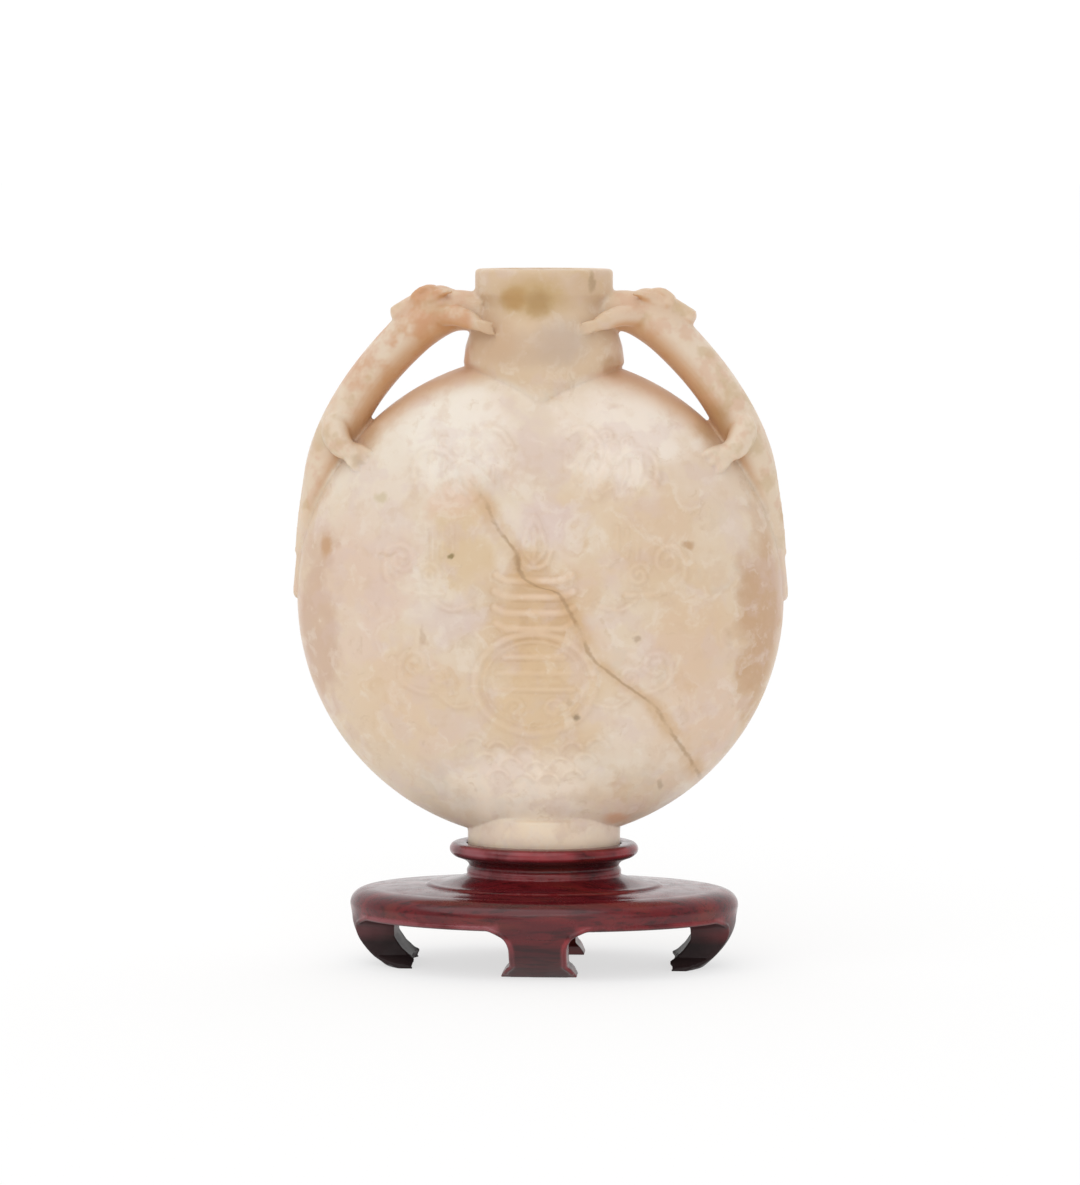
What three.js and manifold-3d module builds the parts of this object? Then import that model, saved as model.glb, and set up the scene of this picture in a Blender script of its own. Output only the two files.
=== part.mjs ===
// A marble moon flask with two climbing dragon handles, on its carved hardwood stand.
// Millimetres, +Z up, front towards -Y. The origin is on the ground under the middle of the disc.

import * as THREE from "three";
import { mergeVertices } from "three/addons/utils/BufferGeometryUtils.js";
import Module from "manifold-3d";

const wasm = await Module();
wasm.setup();

// Disc body of the flask
const discRadius = 79.5;
const discHalfDepth = 31;
const discFullness = 2.5; // 2 is a plain ellipse, more keeps the faces flatter
const discWall = 7;
const discSegments = 40;
const discRings = 5;
const hollowSegments = 18;
const hollowRings = 3;

// Neck and mouth, as half-widths, with the same shape in plan all the way up
const neckHeight = 27.8; // from the top of the disc to the mouth
const lipHalfWidth = 22.4;
const lipHeight = 8.5;
const throatHalfWidth = 20.7;
const throatBelowMouth = 12.3;
const neckBaseHalfWidth = 26.2;
const neckDepthShare = 0.7;
const neckWall = 6;
const neckSides = 24;
const boreSides = 14;
const tongueDrop = 14.5; // how far the neck runs down the face of the disc
const tongueDepth = 20.3;

// Foot of the flask
const footHalfWidth = 25;
const footHalfDepth = 17.5;
const footBelowDisc = 3.1; // from the lowest point of the disc to the underside of the foot
const footRimWidth = 5;
const footHollow = 3;

// Carving on the two faces of the disc
const reliefHeight = 1.1;
const medallionHalfWidth = 20.5;
const medallionHalfHeight = 17.5;
const medallionDrop = 25.2; // below the centre of the disc
const medallionBand = 2.6;
const medallionSides = 14;
const barCount = 4;
const barTop = 8.2; // the highest bar, above the centre of the disc
const barSpacing = 5.2;
const barHalfLength = 13;
const barWidth = 2.2;
const barFlare = 1.8;
const budFoot = 13.7; // above the centre of the disc
const budHeight = 15.5;
const budHalfWidth = 3.8;
const batSpread = 22.5;
const batRise = 43.3;
const batHalfSpan = 16.5;
const cloudSpread = 43;
const cloudRise = 14.5;
const lowCloudSpread = 39;
const lowCloudDrop = 19.2;
const cloudSize = 8.5;
const strokeWidth = 2;
const waveDrop = 54.2;
const waveCount = 5;
const waveWidth = 8;

// Handles
const handleDepthShare = 1.12; // depth of the animal's trunk over its thickness
const trunkSides = 8;
const trunkSteps = 16;

// The disc was carved a little to the left of the foot, the neck and the stand
const axisOffset = 1.3;

// Stand
const tableHalfWidth = 63.8;
const tableHalfDepth = 38.5;
const tableThickness = 10;
const legHeight = 16.3;
const legHalfWidth = 9.4;
const legArcRadius = 7;
const toeFlare = 3.1;
const toeHeight = 2.6;
const footInset = 11.2; // how far each leg sweeps in from the table's edge to the ground
const legThickness = 8.3;
const toeCurl = 4.2;
const apronThickness = 15.6;
const ringHalfWidth = 38.4;
const ringStep = 0.8;
const waistRise = 5.7; // from the table top to the waist
const waistInset = 0.6; // from the flask's foot in to the waist
const collarHeight = 8.6;
const collarWall = 5.7;
const collarEdge = 1.6;
const recessDepth = 2.6;
const undersideRecess = 4;
const standSides = 32;
const insideSquareness = 4; // 2 is an oval, more brings the inside of the legs nearer to a rectangle

// Fit of the flask in the stand
const seatClearance = 0.3;

const tableTop = legHeight + tableThickness;
const waistZ = tableTop + waistRise;
const collarTop = waistZ + collarHeight;
const recessFloor = collarTop - recessDepth;
const footZ = recessFloor + seatClearance;
const discZ = footZ + footBelowDisc + discRadius;
const discTop = discZ + discRadius;
const mouthZ = discTop + neckHeight;

const marble = new THREE.MeshStandardMaterial({ color: 0xe2cdb4, roughness: 0.42, metalness: 0 });
const rosewood = new THREE.MeshStandardMaterial({ color: 0x5a1c1e, roughness: 0.3, metalness: 0 });

// Turns a closed geometry into a solid that can be joined and cut
function solidOf(geometry) {
  const bare = geometry.clone();
  bare.deleteAttribute("normal");
  bare.deleteAttribute("uv");
  const merged = mergeVertices(bare, 1e-4);
  const index = Array.from(merged.index.array);
  const kept = [];
  for (let i = 0; i < index.length; i += 3) {
    const [a, b, c] = index.slice(i, i + 3);
    if (a !== b && b !== c && c !== a) {
      kept.push(a, b, c);
    }
  }
  return new wasm.Manifold(new wasm.Mesh({
    numProp: 3,
    vertProperties: new Float32Array(merged.attributes.position.array),
    triVerts: new Uint32Array(kept),
  }));
}

function meshOf(name, solid, material) {
  const { vertProperties, triVerts } = solid.getMesh();
  const geometry = new THREE.BufferGeometry();
  geometry.setAttribute("position", new THREE.BufferAttribute(new Float32Array(vertProperties), 3));
  geometry.setIndex(new THREE.BufferAttribute(new Uint32Array(triVerts), 1));
  geometry.computeVertexNormals();
  const mesh = new THREE.Mesh(geometry, material);
  mesh.name = name;
  return mesh;
}

function joined(solids) {
  return solids.reduce((sum, solid) => sum.add(solid));
}

// A round section of radius 1, or with a squareness over 2 one that fills its corners more
function unitSection(sides, squareness = 2) {
  const points = [];
  for (let i = 0; i < sides; i += 1) {
    const angle = (2 * Math.PI * i) / sides;
    const [across, up] = [Math.cos(angle), Math.sin(angle)].map((share) => (
      Math.sign(share) * Math.abs(share) ** (2 / squareness)
    ));
    points.push(new THREE.Vector2(across, up));
  }
  return new THREE.Shape(points);
}

// A closed form through oval sections, each with its height, half-width and half-depth
function ovalStack(sections, sides, centreX, squareness) {
  const steps = sections.length - 1;
  const geometry = new THREE.ExtrudeGeometry(unitSection(sides, squareness), {
    depth: steps,
    steps,
    bevelEnabled: false,
  });
  const position = geometry.attributes.position;
  for (let i = 0; i < position.count; i += 1) {
    const { z, halfWidth, halfDepth } = sections[Math.round(position.getZ(i))];
    position.setXYZ(i, centreX + position.getX(i) * halfWidth, position.getY(i) * halfDepth, z);
  }
  return solidOf(geometry);
}

// A limb that swells and tapers along a curve: each stop is [x, y, z, thickness, depth]
function limbGeometry(stops, steps, sides) {
  const route = new THREE.CatmullRomCurve3(stops.map(([x, y, z]) => new THREE.Vector3(x, y, z)));
  const girth = new THREE.CatmullRomCurve3(stops.map((stop) => new THREE.Vector3(stop[3], stop[4], 0)));
  const geometry = new THREE.ExtrudeGeometry(unitSection(sides), {
    depth: steps,
    steps,
    bevelEnabled: false,
  });
  const position = geometry.attributes.position;
  const depthAxis = new THREE.Vector3(0, 1, 0);
  for (let i = 0; i < position.count; i += 1) {
    const share = position.getZ(i) / steps;
    const along = route.getTangent(share);
    const across = depthAxis.clone().addScaledVector(along, -along.y).normalize();
    const thick = new THREE.Vector3().crossVectors(across, along);
    const size = girth.getPoint(share);
    const point = route.getPoint(share)
      .addScaledVector(thick, position.getX(i) * size.x)
      .addScaledVector(across, position.getY(i) * size.y);
    position.setXYZ(i, point.x, point.y, point.z);
  }
  return geometry;
}

// The same form on the other side of a plane through the origin, with its faces still pointing out
function mirrored(geometry, axis) {
  const copy = geometry.clone();
  const flip = { x: [-1, 1, 1], y: [1, -1, 1] }[axis];
  copy.scale(...flip);
  const position = copy.attributes.position;
  const a = new THREE.Vector3();
  const b = new THREE.Vector3();
  for (let i = 0; i < position.count; i += 3) {
    a.fromBufferAttribute(position, i);
    b.fromBufferAttribute(position, i + 1);
    position.setXYZ(i, b.x, b.y, b.z);
    position.setXYZ(i + 1, a.x, a.y, a.z);
  }
  return copy;
}

// Half-depth of the disc at a distance from its centre
function discDepth(distance, radius, halfDepth) {
  const share = Math.min(distance / radius, 1);
  return halfDepth * Math.sqrt(1 - share ** discFullness);
}

// The disc turned about its front-to-back axis, made larger or smaller all round by one offset
function disc(offset, segments, rings) {
  const radius = discRadius + offset;
  const halfDepth = discHalfDepth + offset;
  const profile = [];
  for (let i = -rings; i <= rings; i += 1) {
    const share = Math.sin((Math.PI / 2) * (1 - Math.abs(i) / rings));
    const depth = discDepth(radius * share, radius, halfDepth);
    profile.push(new THREE.Vector2(i === -rings || i === rings ? 0 : radius * share, Math.sign(i) * depth));
  }
  profile[rings].set(radius, 0);
  const geometry = new THREE.LatheGeometry(profile, segments);
  geometry.translate(0, 0, discZ);
  return solidOf(geometry);
}

// Neck with its overhanging lip, running down onto the face of the disc as a tongue
function neckSections() {
  const section = (z, halfWidth, halfDepth = halfWidth * neckDepthShare) => ({ z, halfWidth, halfDepth });
  const lipLow = mouthZ - lipHeight;
  const throatZ = mouthZ - throatBelowMouth;
  const baseZ = discTop - 3;
  const flare = neckBaseHalfWidth - throatHalfWidth;
  return [
    section(baseZ - tongueDrop, neckBaseHalfWidth * 0.16, tongueDepth),
    section(baseZ - tongueDrop * 0.45, neckBaseHalfWidth * 0.72, tongueDepth * 0.93),
    section(baseZ, neckBaseHalfWidth),
    section(baseZ + (throatZ - baseZ) * 0.55, throatHalfWidth + flare * 0.72),
    section(baseZ + (throatZ - baseZ) * 0.82, throatHalfWidth + flare * 0.3),
    section(throatZ, throatHalfWidth),
    section((throatZ + lipLow) / 2, throatHalfWidth + (lipHalfWidth - throatHalfWidth) * 0.3),
    section(lipLow, lipHalfWidth),
    section(mouthZ - 0.7, lipHalfWidth),
    section(mouthZ, lipHalfWidth - 0.6),
  ];
}

function footSections() {
  return [
    { z: footZ, halfWidth: footHalfWidth - 0.8, halfDepth: footHalfDepth - 0.8 },
    { z: footZ + 0.8, halfWidth: footHalfWidth, halfDepth: footHalfDepth },
    { z: footZ + footBelowDisc + 8, halfWidth: footHalfWidth, halfDepth: footHalfDepth },
  ];
}

// The hollow of the disc, and the bore that joins it to the mouth
function hollow() {
  const boreHalfWidth = throatHalfWidth - neckWall;
  const boreHalfDepth = throatHalfWidth * neckDepthShare - neckWall;
  const bore = ovalStack([
    { z: discTop - discWall - 12, halfWidth: boreHalfWidth, halfDepth: boreHalfDepth },
    { z: mouthZ - 2, halfWidth: boreHalfWidth, halfDepth: boreHalfDepth },
    { z: mouthZ + 1, halfWidth: boreHalfWidth + 1.5, halfDepth: boreHalfDepth + 1.5 },
  ], boreSides, axisOffset);
  return disc(-discWall, hollowSegments, hollowRings).add(bore);
}

// A stop of a limb, by its angle from the top of the disc and its rise above the disc's edge
function edgeStop(degrees, rise, y, thickness, depth = thickness) {
  const angle = THREE.MathUtils.degToRad(degrees);
  const reach = discRadius + rise;
  return [reach * Math.sin(angle), y, discZ + reach * Math.cos(angle), thickness, depth];
}

// A stop of a limb that lies on the front face of the disc, inside its edge
function faceStop(degrees, inset, proud, thickness) {
  const surface = discDepth(discRadius - inset, discRadius, discHalfDepth);
  return edgeStop(degrees, -inset, -(surface + proud), thickness);
}

// Animal handle on the right: trunk and tail, head turned outwards, legs on the neck and on the disc.
// Its arch rises from the disc's edge in proportion to the neck, and it starts inside the neck's wall.
function handleGeometries() {
  const throatHalfDepth = throatHalfWidth * neckDepthShare;
  const arch = (share) => share * neckHeight;
  const neckEnd = [throatHalfWidth - neckWall * 0.3, 0, mouthZ - neckHeight * 0.507, 6.2, 6.9];
  const trunk = [
    [17.2, 0.66, 6.8],
    [23.4, 0.63, 7.5],
    [29.7, 0.52, 7.3],
    [36.7, 0.405, 7.1],
    [43.6, 0.3, 7.1],
    [50.9, 0.19, 7.3],
    [58.2, 0.108, 6.4],
    [65.5, 0.043, 4.5],
    [72.3, 0, 3.3],
    [79.7, -0.036, 2.6],
    [86.3, -0.04, 2.5],
    [89.3, -0.036, 2.4],
    [90.6, -0.05, 0.8],
  ].map(([degrees, share, thickness]) => (
    edgeStop(degrees, arch(share), 0, thickness, thickness * handleDepthShare)
  ));
  const head = [
    [17.2, 1.6, 3.2],
    [18.9, 3.6, 6.2],
    [21.6, 4.4, 6.6],
    [24.3, 3.8, 5.2],
    [26.8, 3.2, 4.2],
    [28.4, 3, 4.4],
    [29.1, 1.4, 2.6],
  ].map(([degrees, thickness, depth]) => edgeStop(degrees, arch(0.855), 0, thickness, depth));
  const foreleg = [
    edgeStop(19.7, arch(0.66), -throatHalfDepth * 0.35, 3.6),
    edgeStop(16.2, arch(0.6), -throatHalfDepth * 0.66, 3.4, 3.2),
    edgeStop(13.5, arch(0.5), -throatHalfDepth * 0.83, 3, 2.6),
    edgeStop(11.1, arch(0.39), -throatHalfDepth * 0.9, 1.4, 1.2),
  ];
  const hindleg = [
    edgeStop(47.5, arch(0.3), -4, 3.4),
    edgeStop(50.2, arch(0.24), -7.6, 4.6, 4),
    edgeStop(51.8, arch(0.08), -10, 4.2, 3.4),
    faceStop(51.7, 2.4, 3, 3),
  ];
  const toes = [-1, 0, 1].map((spread) => [
    faceStop(51.7 - spread * 0.8, 1, 2.6, 1.8),
    faceStop(51.2 - spread * 2.2, 5.2, 0.9, 1.7),
    faceStop(51 - spread * 2.7, 8, -0.6, 0.7),
  ]);
  const ear = [
    edgeStop(21, arch(0.89), -4, 1.8),
    edgeStop(18.5, arch(0.94), -6.4, 1.3),
    edgeStop(16.6, arch(0.94), -7.2, 0.5),
  ];
  const paired = [
    limbGeometry(foreleg, 3, 6),
    limbGeometry(hindleg, 3, 6),
    limbGeometry(ear, 1, 4),
    ...toes.map((toe) => limbGeometry(toe, 2, 4)),
  ];
  return [
    limbGeometry([neckEnd, ...trunk], trunkSteps, trunkSides),
    limbGeometry(head, 6, 8),
    ...paired,
    ...paired.map((geometry) => mirrored(geometry, "y")),
  ];
}

// Both handles, each the mirror image of the other
function handles() {
  const right = handleGeometries();
  return joined([...right, ...right.map((geometry) => mirrored(geometry, "x"))].map(solidOf));
}

// Outline of a brush-like stroke of even width along a smooth line of [across, up] points
function strokeShape(points, width, divisions = 4) {
  const line = new THREE.CatmullRomCurve3(points.map(([u, w]) => new THREE.Vector3(u, w, 0)));
  const count = Math.max(1, divisions) * (points.length - 1);
  const left = [];
  const right = [];
  for (let i = 0; i <= count; i += 1) {
    const at = line.getPoint(i / count);
    const along = line.getTangent(i / count);
    left.push(new THREE.Vector2(at.x - (along.y * width) / 2, at.y + (along.x * width) / 2));
    right.push(new THREE.Vector2(at.x + (along.y * width) / 2, at.y - (along.x * width) / 2));
  }
  return new THREE.Shape([...right, ...left.reverse()]);
}

function arcPoints(u, w, radius, from, to, count) {
  const points = [];
  for (let i = 0; i <= count; i += 1) {
    const angle = THREE.MathUtils.degToRad(from + ((to - from) * i) / count);
    points.push([u + radius * Math.cos(angle), w + radius * Math.sin(angle)]);
  }
  return points;
}

// A cloud: one scroll that winds in on itself, and a tail that trails away to the side
function cloudShapes(u, w, size, side) {
  const scroll = [
    [u - side * size * 1.1, w - size * 1.05],
    [u - side * size * 0.2, w - size * 1.15],
    [u + side * size * 0.45, w - size * 0.7],
  ];
  for (let i = 0; i <= 5; i += 1) {
    const angle = i * 1.1;
    const radius = size * (0.58 - 0.06 * i);
    scroll.push([u + side * radius * Math.cos(angle), w + radius * Math.sin(angle)]);
  }
  return [strokeShape(scroll, strokeWidth, 1)];
}

// A flying bat, seen from above: scalloped wings either side of a short body
function batShape(u, w, halfSpan, tilt) {
  const half = [
    [0, 0.5],
    [0.16, 0.28],
    [0.5, 0.6],
    [0.85, 0.55],
    [1, 0.1],
    [0.74, 0],
    [0.6, -0.3],
    [0.4, -0.12],
    [0.16, -0.36],
    [0, -0.62],
  ];
  const outline = [
    ...half,
    ...half.slice(1, -1).reverse().map(([across, up]) => [-across, up]),
  ];
  return new THREE.Shape(outline.map(([across, up]) => new THREE.Vector2(across * halfSpan, up * halfSpan)
    .rotateAround(new THREE.Vector2(), tilt)
    .add(new THREE.Vector2(u, w))).reverse());
}

function ovalShape(u, w, halfWidth, halfHeight, count) {
  const points = [];
  for (let i = 0; i < count; i += 1) {
    const angle = (2 * Math.PI * i) / count;
    points.push(new THREE.Vector2(u + halfWidth * Math.cos(angle), w + halfHeight * Math.sin(angle)));
  }
  return new THREE.Shape(points);
}

// The round medallion: a band, and inside it rows of strokes over two curls
function medallionShapes() {
  const centre = -medallionDrop;
  const inner = [medallionHalfWidth - medallionBand, medallionHalfHeight - medallionBand];
  const band = ovalShape(0, centre, medallionHalfWidth, medallionHalfHeight, medallionSides);
  band.holes.push(ovalShape(0, centre, ...inner, medallionSides));
  const rows = [0.56, 0.22, -0.12].map((row) => {
    const w = centre + medallionHalfHeight * row;
    const half = medallionHalfWidth * (0.72 - Math.abs(row) * 0.4);
    return strokeShape([[-half, w], [half, w]], strokeWidth, 1);
  });
  const curls = [-1, 1].map((side) => strokeShape([
    [side * medallionHalfWidth * 0.1, centre - medallionHalfHeight * 0.42],
    [side * medallionHalfWidth * 0.44, centre - medallionHalfHeight * 0.36],
    [side * medallionHalfWidth * 0.52, centre - medallionHalfHeight * 0.58],
    [side * medallionHalfWidth * 0.3, centre - medallionHalfHeight * 0.66],
  ], strokeWidth, 1));
  return [band, ...rows, ...curls];
}

// Stacked bars with flared ends over the medallion, and the bud that crowns them
function barShapes() {
  const bars = [];
  for (let i = 0; i < barCount; i += 1) {
    const w = barTop - i * barSpacing;
    const half = barHalfLength - Math.abs(i - 1.5) * 0.6;
    bars.push(strokeShape([
      [-half, w + barFlare],
      [-half * 0.7, w],
      [half * 0.7, w],
      [half, w + barFlare],
    ], barWidth, 1));
  }
  const bud = new THREE.Shape([
    [0, 1],
    [-0.68, 0.58],
    [-1, 0.26],
    [-0.47, 0],
    [0.47, 0],
    [1, 0.26],
    [0.68, 0.58],
  ].map(([across, up]) => new THREE.Vector2(across * budHalfWidth, budFoot + up * budHeight)));
  return [...bars, bud];
}

function waveShapes() {
  const waves = [];
  for (let i = 0; i < waveCount; i += 1) {
    const place = i - (waveCount - 1) / 2;
    const w = -waveDrop + Math.abs(place) * 1.6;
    waves.push(strokeShape(arcPoints(place * waveWidth, w, waveWidth * 0.42, 15, 165, 3), strokeWidth, 1));
  }
  return waves;
}

function frontShapes() {
  const sides = [-1, 1];
  return [
    ...barShapes(),
    ...medallionShapes(),
    ...waveShapes(),
    ...sides.map((side) => batShape(side * batSpread, batRise, batHalfSpan, -side * 0.35)),
    ...sides.flatMap((side) => cloudShapes(side * cloudSpread, cloudRise, cloudSize, side)),
    ...sides.flatMap((side) => cloudShapes(side * lowCloudSpread, -lowCloudDrop, cloudSize * 0.85, side)),
  ];
}

function backShapes() {
  const sides = [-1, 1];
  return [
    ...medallionShapes(),
    ...sides.map((side) => batShape(side * batSpread, batRise, batHalfSpan, -side * 0.35)),
  ];
}

// Raises flat shapes from one face of the disc by the relief height
function relief(shapes, turn) {
  const envelope = disc(reliefHeight, discSegments, discRings);
  const prisms = shapes.map((shape) => {
    const geometry = new THREE.ExtrudeGeometry(shape, {
      depth: discHalfDepth + 2 * reliefHeight,
      bevelEnabled: false,
    });
    geometry.rotateX(Math.PI / 2);
    geometry.rotateZ(turn);
    geometry.translate(0, 0, discZ);
    return solidOf(geometry);
  });
  return joined(prisms).intersect(envelope);
}

function flask() {
  const outside = joined([
    disc(0, discSegments, discRings),
    ovalStack(neckSections(), neckSides, axisOffset),
    ovalStack(footSections(), neckSides, axisOffset),
    handles(),
    relief(frontShapes(), 0),
    relief(backShapes(), Math.PI),
  ]);
  const underFoot = ovalStack([
    { z: footZ - 1, halfWidth: footHalfWidth - footRimWidth, halfDepth: footHalfDepth - footRimWidth },
    { z: footZ + footHollow, halfWidth: footHalfWidth - footRimWidth - 1, halfDepth: footHalfDepth - footRimWidth - 1 },
  ], boreSides, axisOffset);
  return outside.subtract(hollow()).subtract(underFoot);
}

// An oval of the table's family: it keeps the same distance all round from the table's edge
function tableSection(z, inset) {
  return { z, halfWidth: tableHalfWidth - inset, halfDepth: tableHalfDepth - inset };
}

// An oval of the foot's family, as far outside the flask's foot all round
function collarSection(z, outside) {
  return { z, halfWidth: footHalfWidth + outside, halfDepth: footHalfDepth + outside };
}

// Table, step, waist and collar, from the underside of the apron up
function standBodySections() {
  const ring = {
    z: tableTop,
    halfWidth: ringHalfWidth,
    halfDepth: tableHalfDepth - (tableHalfWidth - ringHalfWidth) * 0.54,
  };
  const rim = seatClearance + collarWall;
  return [
    tableSection(legHeight - 0.01, 0.7),
    tableSection(legHeight + tableThickness * 0.35, 0),
    tableSection(legHeight + tableThickness * 0.66, 0.8),
    tableSection(legHeight + tableThickness * 0.88, 3.2),
    tableSection(tableTop, 8),
    ring,
    { ...ring, z: tableTop + ringStep },
    collarSection(tableTop + waistRise * 0.45, 4.5),
    collarSection(waistZ - 1, 1.1),
    collarSection(waistZ, -waistInset),
    collarSection(waistZ + collarHeight * 0.3, 0.6),
    collarSection(waistZ + collarHeight * 0.6, rim - 1.6),
    collarSection(collarTop - collarEdge, rim),
    collarSection(collarTop - collarEdge * 0.35, rim),
    collarSection(collarTop, rim - 0.8),
  ];
}

// The ring of wood that the four legs are cut from: outside and inside
function skirtSections() {
  return [0, 0.18, 0.42, 0.7, 1.02].map((share) => (
    tableSection(legHeight * share, 0.7 + (footInset - 0.7) * (1 - Math.min(share, 1)) ** 1.9)
  ));
}

function insideSections() {
  const footInner = footInset + legThickness;
  const thick = [
    [-0.1, footInner],
    [0.05, footInner],
    [0.22, footInner + toeCurl * 0.2],
    [0.45, apronThickness + toeCurl * 0.25],
    [1, apronThickness],
    [1.25, apronThickness + 1],
  ];
  return thick.map(([share, inset]) => tableSection(
    share > 1 ? legHeight + undersideRecess : legHeight * share,
    inset,
  ));
}

// What is cut away beside a leg, drawn from the leg's centre outwards: toe, straight edge, arc, apron
function besideLegShape(reach) {
  const low = -1;
  const arcFoot = legHeight - legArcRadius;
  const points = [
    [reach, low],
    [reach, legHeight],
    [legHalfWidth + legArcRadius, legHeight],
    ...arcPoints(legHalfWidth + legArcRadius, arcFoot, legArcRadius, 90, 180, 5).slice(1),
    [legHalfWidth, toeHeight * 1.5],
    [legHalfWidth + toeFlare * 0.5, toeHeight],
    [legHalfWidth + toeFlare, toeHeight * 0.55],
    [legHalfWidth + toeFlare, low],
  ];
  return new THREE.Shape(points.map(([u, w]) => new THREE.Vector2(u, w)));
}

// One opening of the apron: what both neighbouring legs leave free
function apronOpening(alongX, alongY) {
  const reach = tableHalfWidth + 5;
  const make = () => new THREE.ExtrudeGeometry(besideLegShape(reach), { depth: reach, bevelEnabled: false });
  const besideFront = make();
  besideFront.rotateX(Math.PI / 2);
  const besideSide = make();
  besideSide.rotateX(Math.PI / 2);
  besideSide.rotateZ(-Math.PI / 2);
  const sideways = mirrored(besideSide, "x");
  const place = (geometry) => {
    let placed = geometry;
    if (alongX < 0) {
      placed = mirrored(placed, "x");
    }
    if (alongY > 0) {
      placed = mirrored(placed, "y");
    }
    placed.translate(axisOffset, 0, 0);
    return solidOf(placed);
  };
  return place(besideFront).intersect(place(sideways));
}

function stand() {
  const ringOfWood = ovalStack(skirtSections(), standSides, axisOffset)
    .add(ovalStack(standBodySections(), standSides, axisOffset))
    .subtract(ovalStack(insideSections(), standSides, axisOffset, insideSquareness));
  const openings = [-1, 1].flatMap((alongX) => [-1, 1].map((alongY) => apronOpening(alongX, alongY)));
  const recess = ovalStack([
    collarSection(recessFloor, seatClearance - 0.8),
    collarSection(recessFloor + 0.8, seatClearance),
    collarSection(collarTop - 0.5, seatClearance),
    collarSection(collarTop + 0.5, seatClearance + 1),
  ], standSides, axisOffset);
  return ringOfWood.subtract(joined(openings)).subtract(recess);
}

const moonFlask = new THREE.Group();
moonFlask.add(meshOf("flask", flask(), marble));
moonFlask.add(meshOf("stand", stand(), rosewood));

export default moonFlask;
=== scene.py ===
"""A marble moon flask with two climbing dragon handles, on its carved rosewood stand.

Both pieces are modelled in millimetres and brought to metres when they are finished.
"""
from math import cos, pi, radians, sin, sqrt, tau

import bmesh
import bpy
import numpy as np
from mathutils import Matrix, Vector


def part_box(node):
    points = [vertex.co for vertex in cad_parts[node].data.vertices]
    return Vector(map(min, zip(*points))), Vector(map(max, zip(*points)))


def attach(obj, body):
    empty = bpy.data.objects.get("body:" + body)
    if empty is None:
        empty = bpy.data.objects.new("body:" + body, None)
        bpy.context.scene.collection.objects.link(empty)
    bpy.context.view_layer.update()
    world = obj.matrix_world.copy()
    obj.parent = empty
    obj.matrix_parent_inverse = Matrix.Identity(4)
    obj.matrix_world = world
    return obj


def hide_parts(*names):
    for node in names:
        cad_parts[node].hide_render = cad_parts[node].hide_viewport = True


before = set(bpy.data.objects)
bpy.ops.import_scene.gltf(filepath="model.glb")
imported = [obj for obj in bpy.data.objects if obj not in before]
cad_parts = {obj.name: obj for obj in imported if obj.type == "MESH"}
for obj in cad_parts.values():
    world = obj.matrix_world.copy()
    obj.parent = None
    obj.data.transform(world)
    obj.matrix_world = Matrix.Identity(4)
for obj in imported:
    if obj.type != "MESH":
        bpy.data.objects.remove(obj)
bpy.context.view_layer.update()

MM = 0.001  # metres in a millimetre
coarse = 1  # a trial run has a coarser skin

# The finished skins: distance between their points in millimetres, and how many triangles stay
flask_grain = 0.55
flask_triangles = 180000
stand_grain = 0.42
stand_triangles = 150000


def node_box(name):
    """A node's lowest and highest corners, in millimetres."""
    return [Vector(corner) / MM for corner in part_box(name)]


flask_low, flask_high = node_box("flask")
stand_low, stand_high = node_box("stand")

# Disc body of the flask
disc_radius = 79.5
disc_half_depth = 31
disc_fullness = 2.5  # 2 is a plain ellipse, more keeps the faces flatter
disc_wall = 7

# Neck, mouth and foot: the disc was carved a little to the left of them
axis_offset = 1.3
neck_height = 27.8
lip_half_width = 22.4
lip_height = 8.5
throat_half_width = 20.7
throat_below_mouth = 12.3
neck_base_half_width = 26.2
neck_depth_share = 0.7
throat_half_depth = throat_half_width * neck_depth_share
neck_wall = 6
foot_half_width = 25
foot_half_depth = 17.5
foot_below_disc = 3.1
foot_rim_width = 5
foot_hollow = 3

foot_z = flask_low.z
mouth_z = flask_high.z
disc_z = foot_z + foot_below_disc + disc_radius
disc_top = disc_z + disc_radius

# Handles
handle_depth_share = 1.12  # depth of the animal's trunk over its thickness
left_head_drawn_in = 1.3  # degrees that the left animal's head sits nearer the neck than the right one's

# Carving on the disc, measured across and up from its centre
relief_height = 0.85
crack_depth = 0.08
stroke_width = 1.9
medallion_centre = -25.2
medallion_half_width = 20.5
medallion_half_height = 17.5
bar_tops = [8.2 - 5.2 * row for row in range(4)]
bat_spread = 22.5
bat_rise = 43.3
wave_rows = [-49.5, -54.2, -58.9]

# The line of the crack down the front, as [across, up] points from its lower end
crack_line = [
    (54, -61), (49.3, -50.4), (46, -45), (42.4, -39.2), (38.6, -32.8), (30, -26.1), (23, -20.5),
    (18.6, -16.6), (14.7, -7.9), (10.9, -0.8), (7.6, 4.2), (0.4, 6.6), (-4.6, 11.3), (-5.2, 16.2),
    (-8.7, 20.9), (-12.6, 26.3), (-15.3, 32.4), (-20.9, 40.2),
]

# Stand
table_half_width = 63.8
table_half_depth = 38.5
table_thickness = 10
leg_height = 16.3
leg_half_width = 9.4
leg_arc = 7
toe_flare = 3.1
toe_height = 2.6
foot_inset = 11.2
leg_thickness = 8.3
toe_curl = 4.2
apron_thickness = 15.6
ring_half_width = 38.4
ring_step = 0.8
waist_rise = 5.7
collar_wall = 5.7
recess_depth = 2.6
seat_clearance = 0.3
bead_radius = 0.75
table_top = leg_height + table_thickness
waist_z = table_top + waist_rise
collar_top = stand_high.z
ring_half_depth = table_half_depth - (table_half_width - ring_half_width) * 0.54


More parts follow.
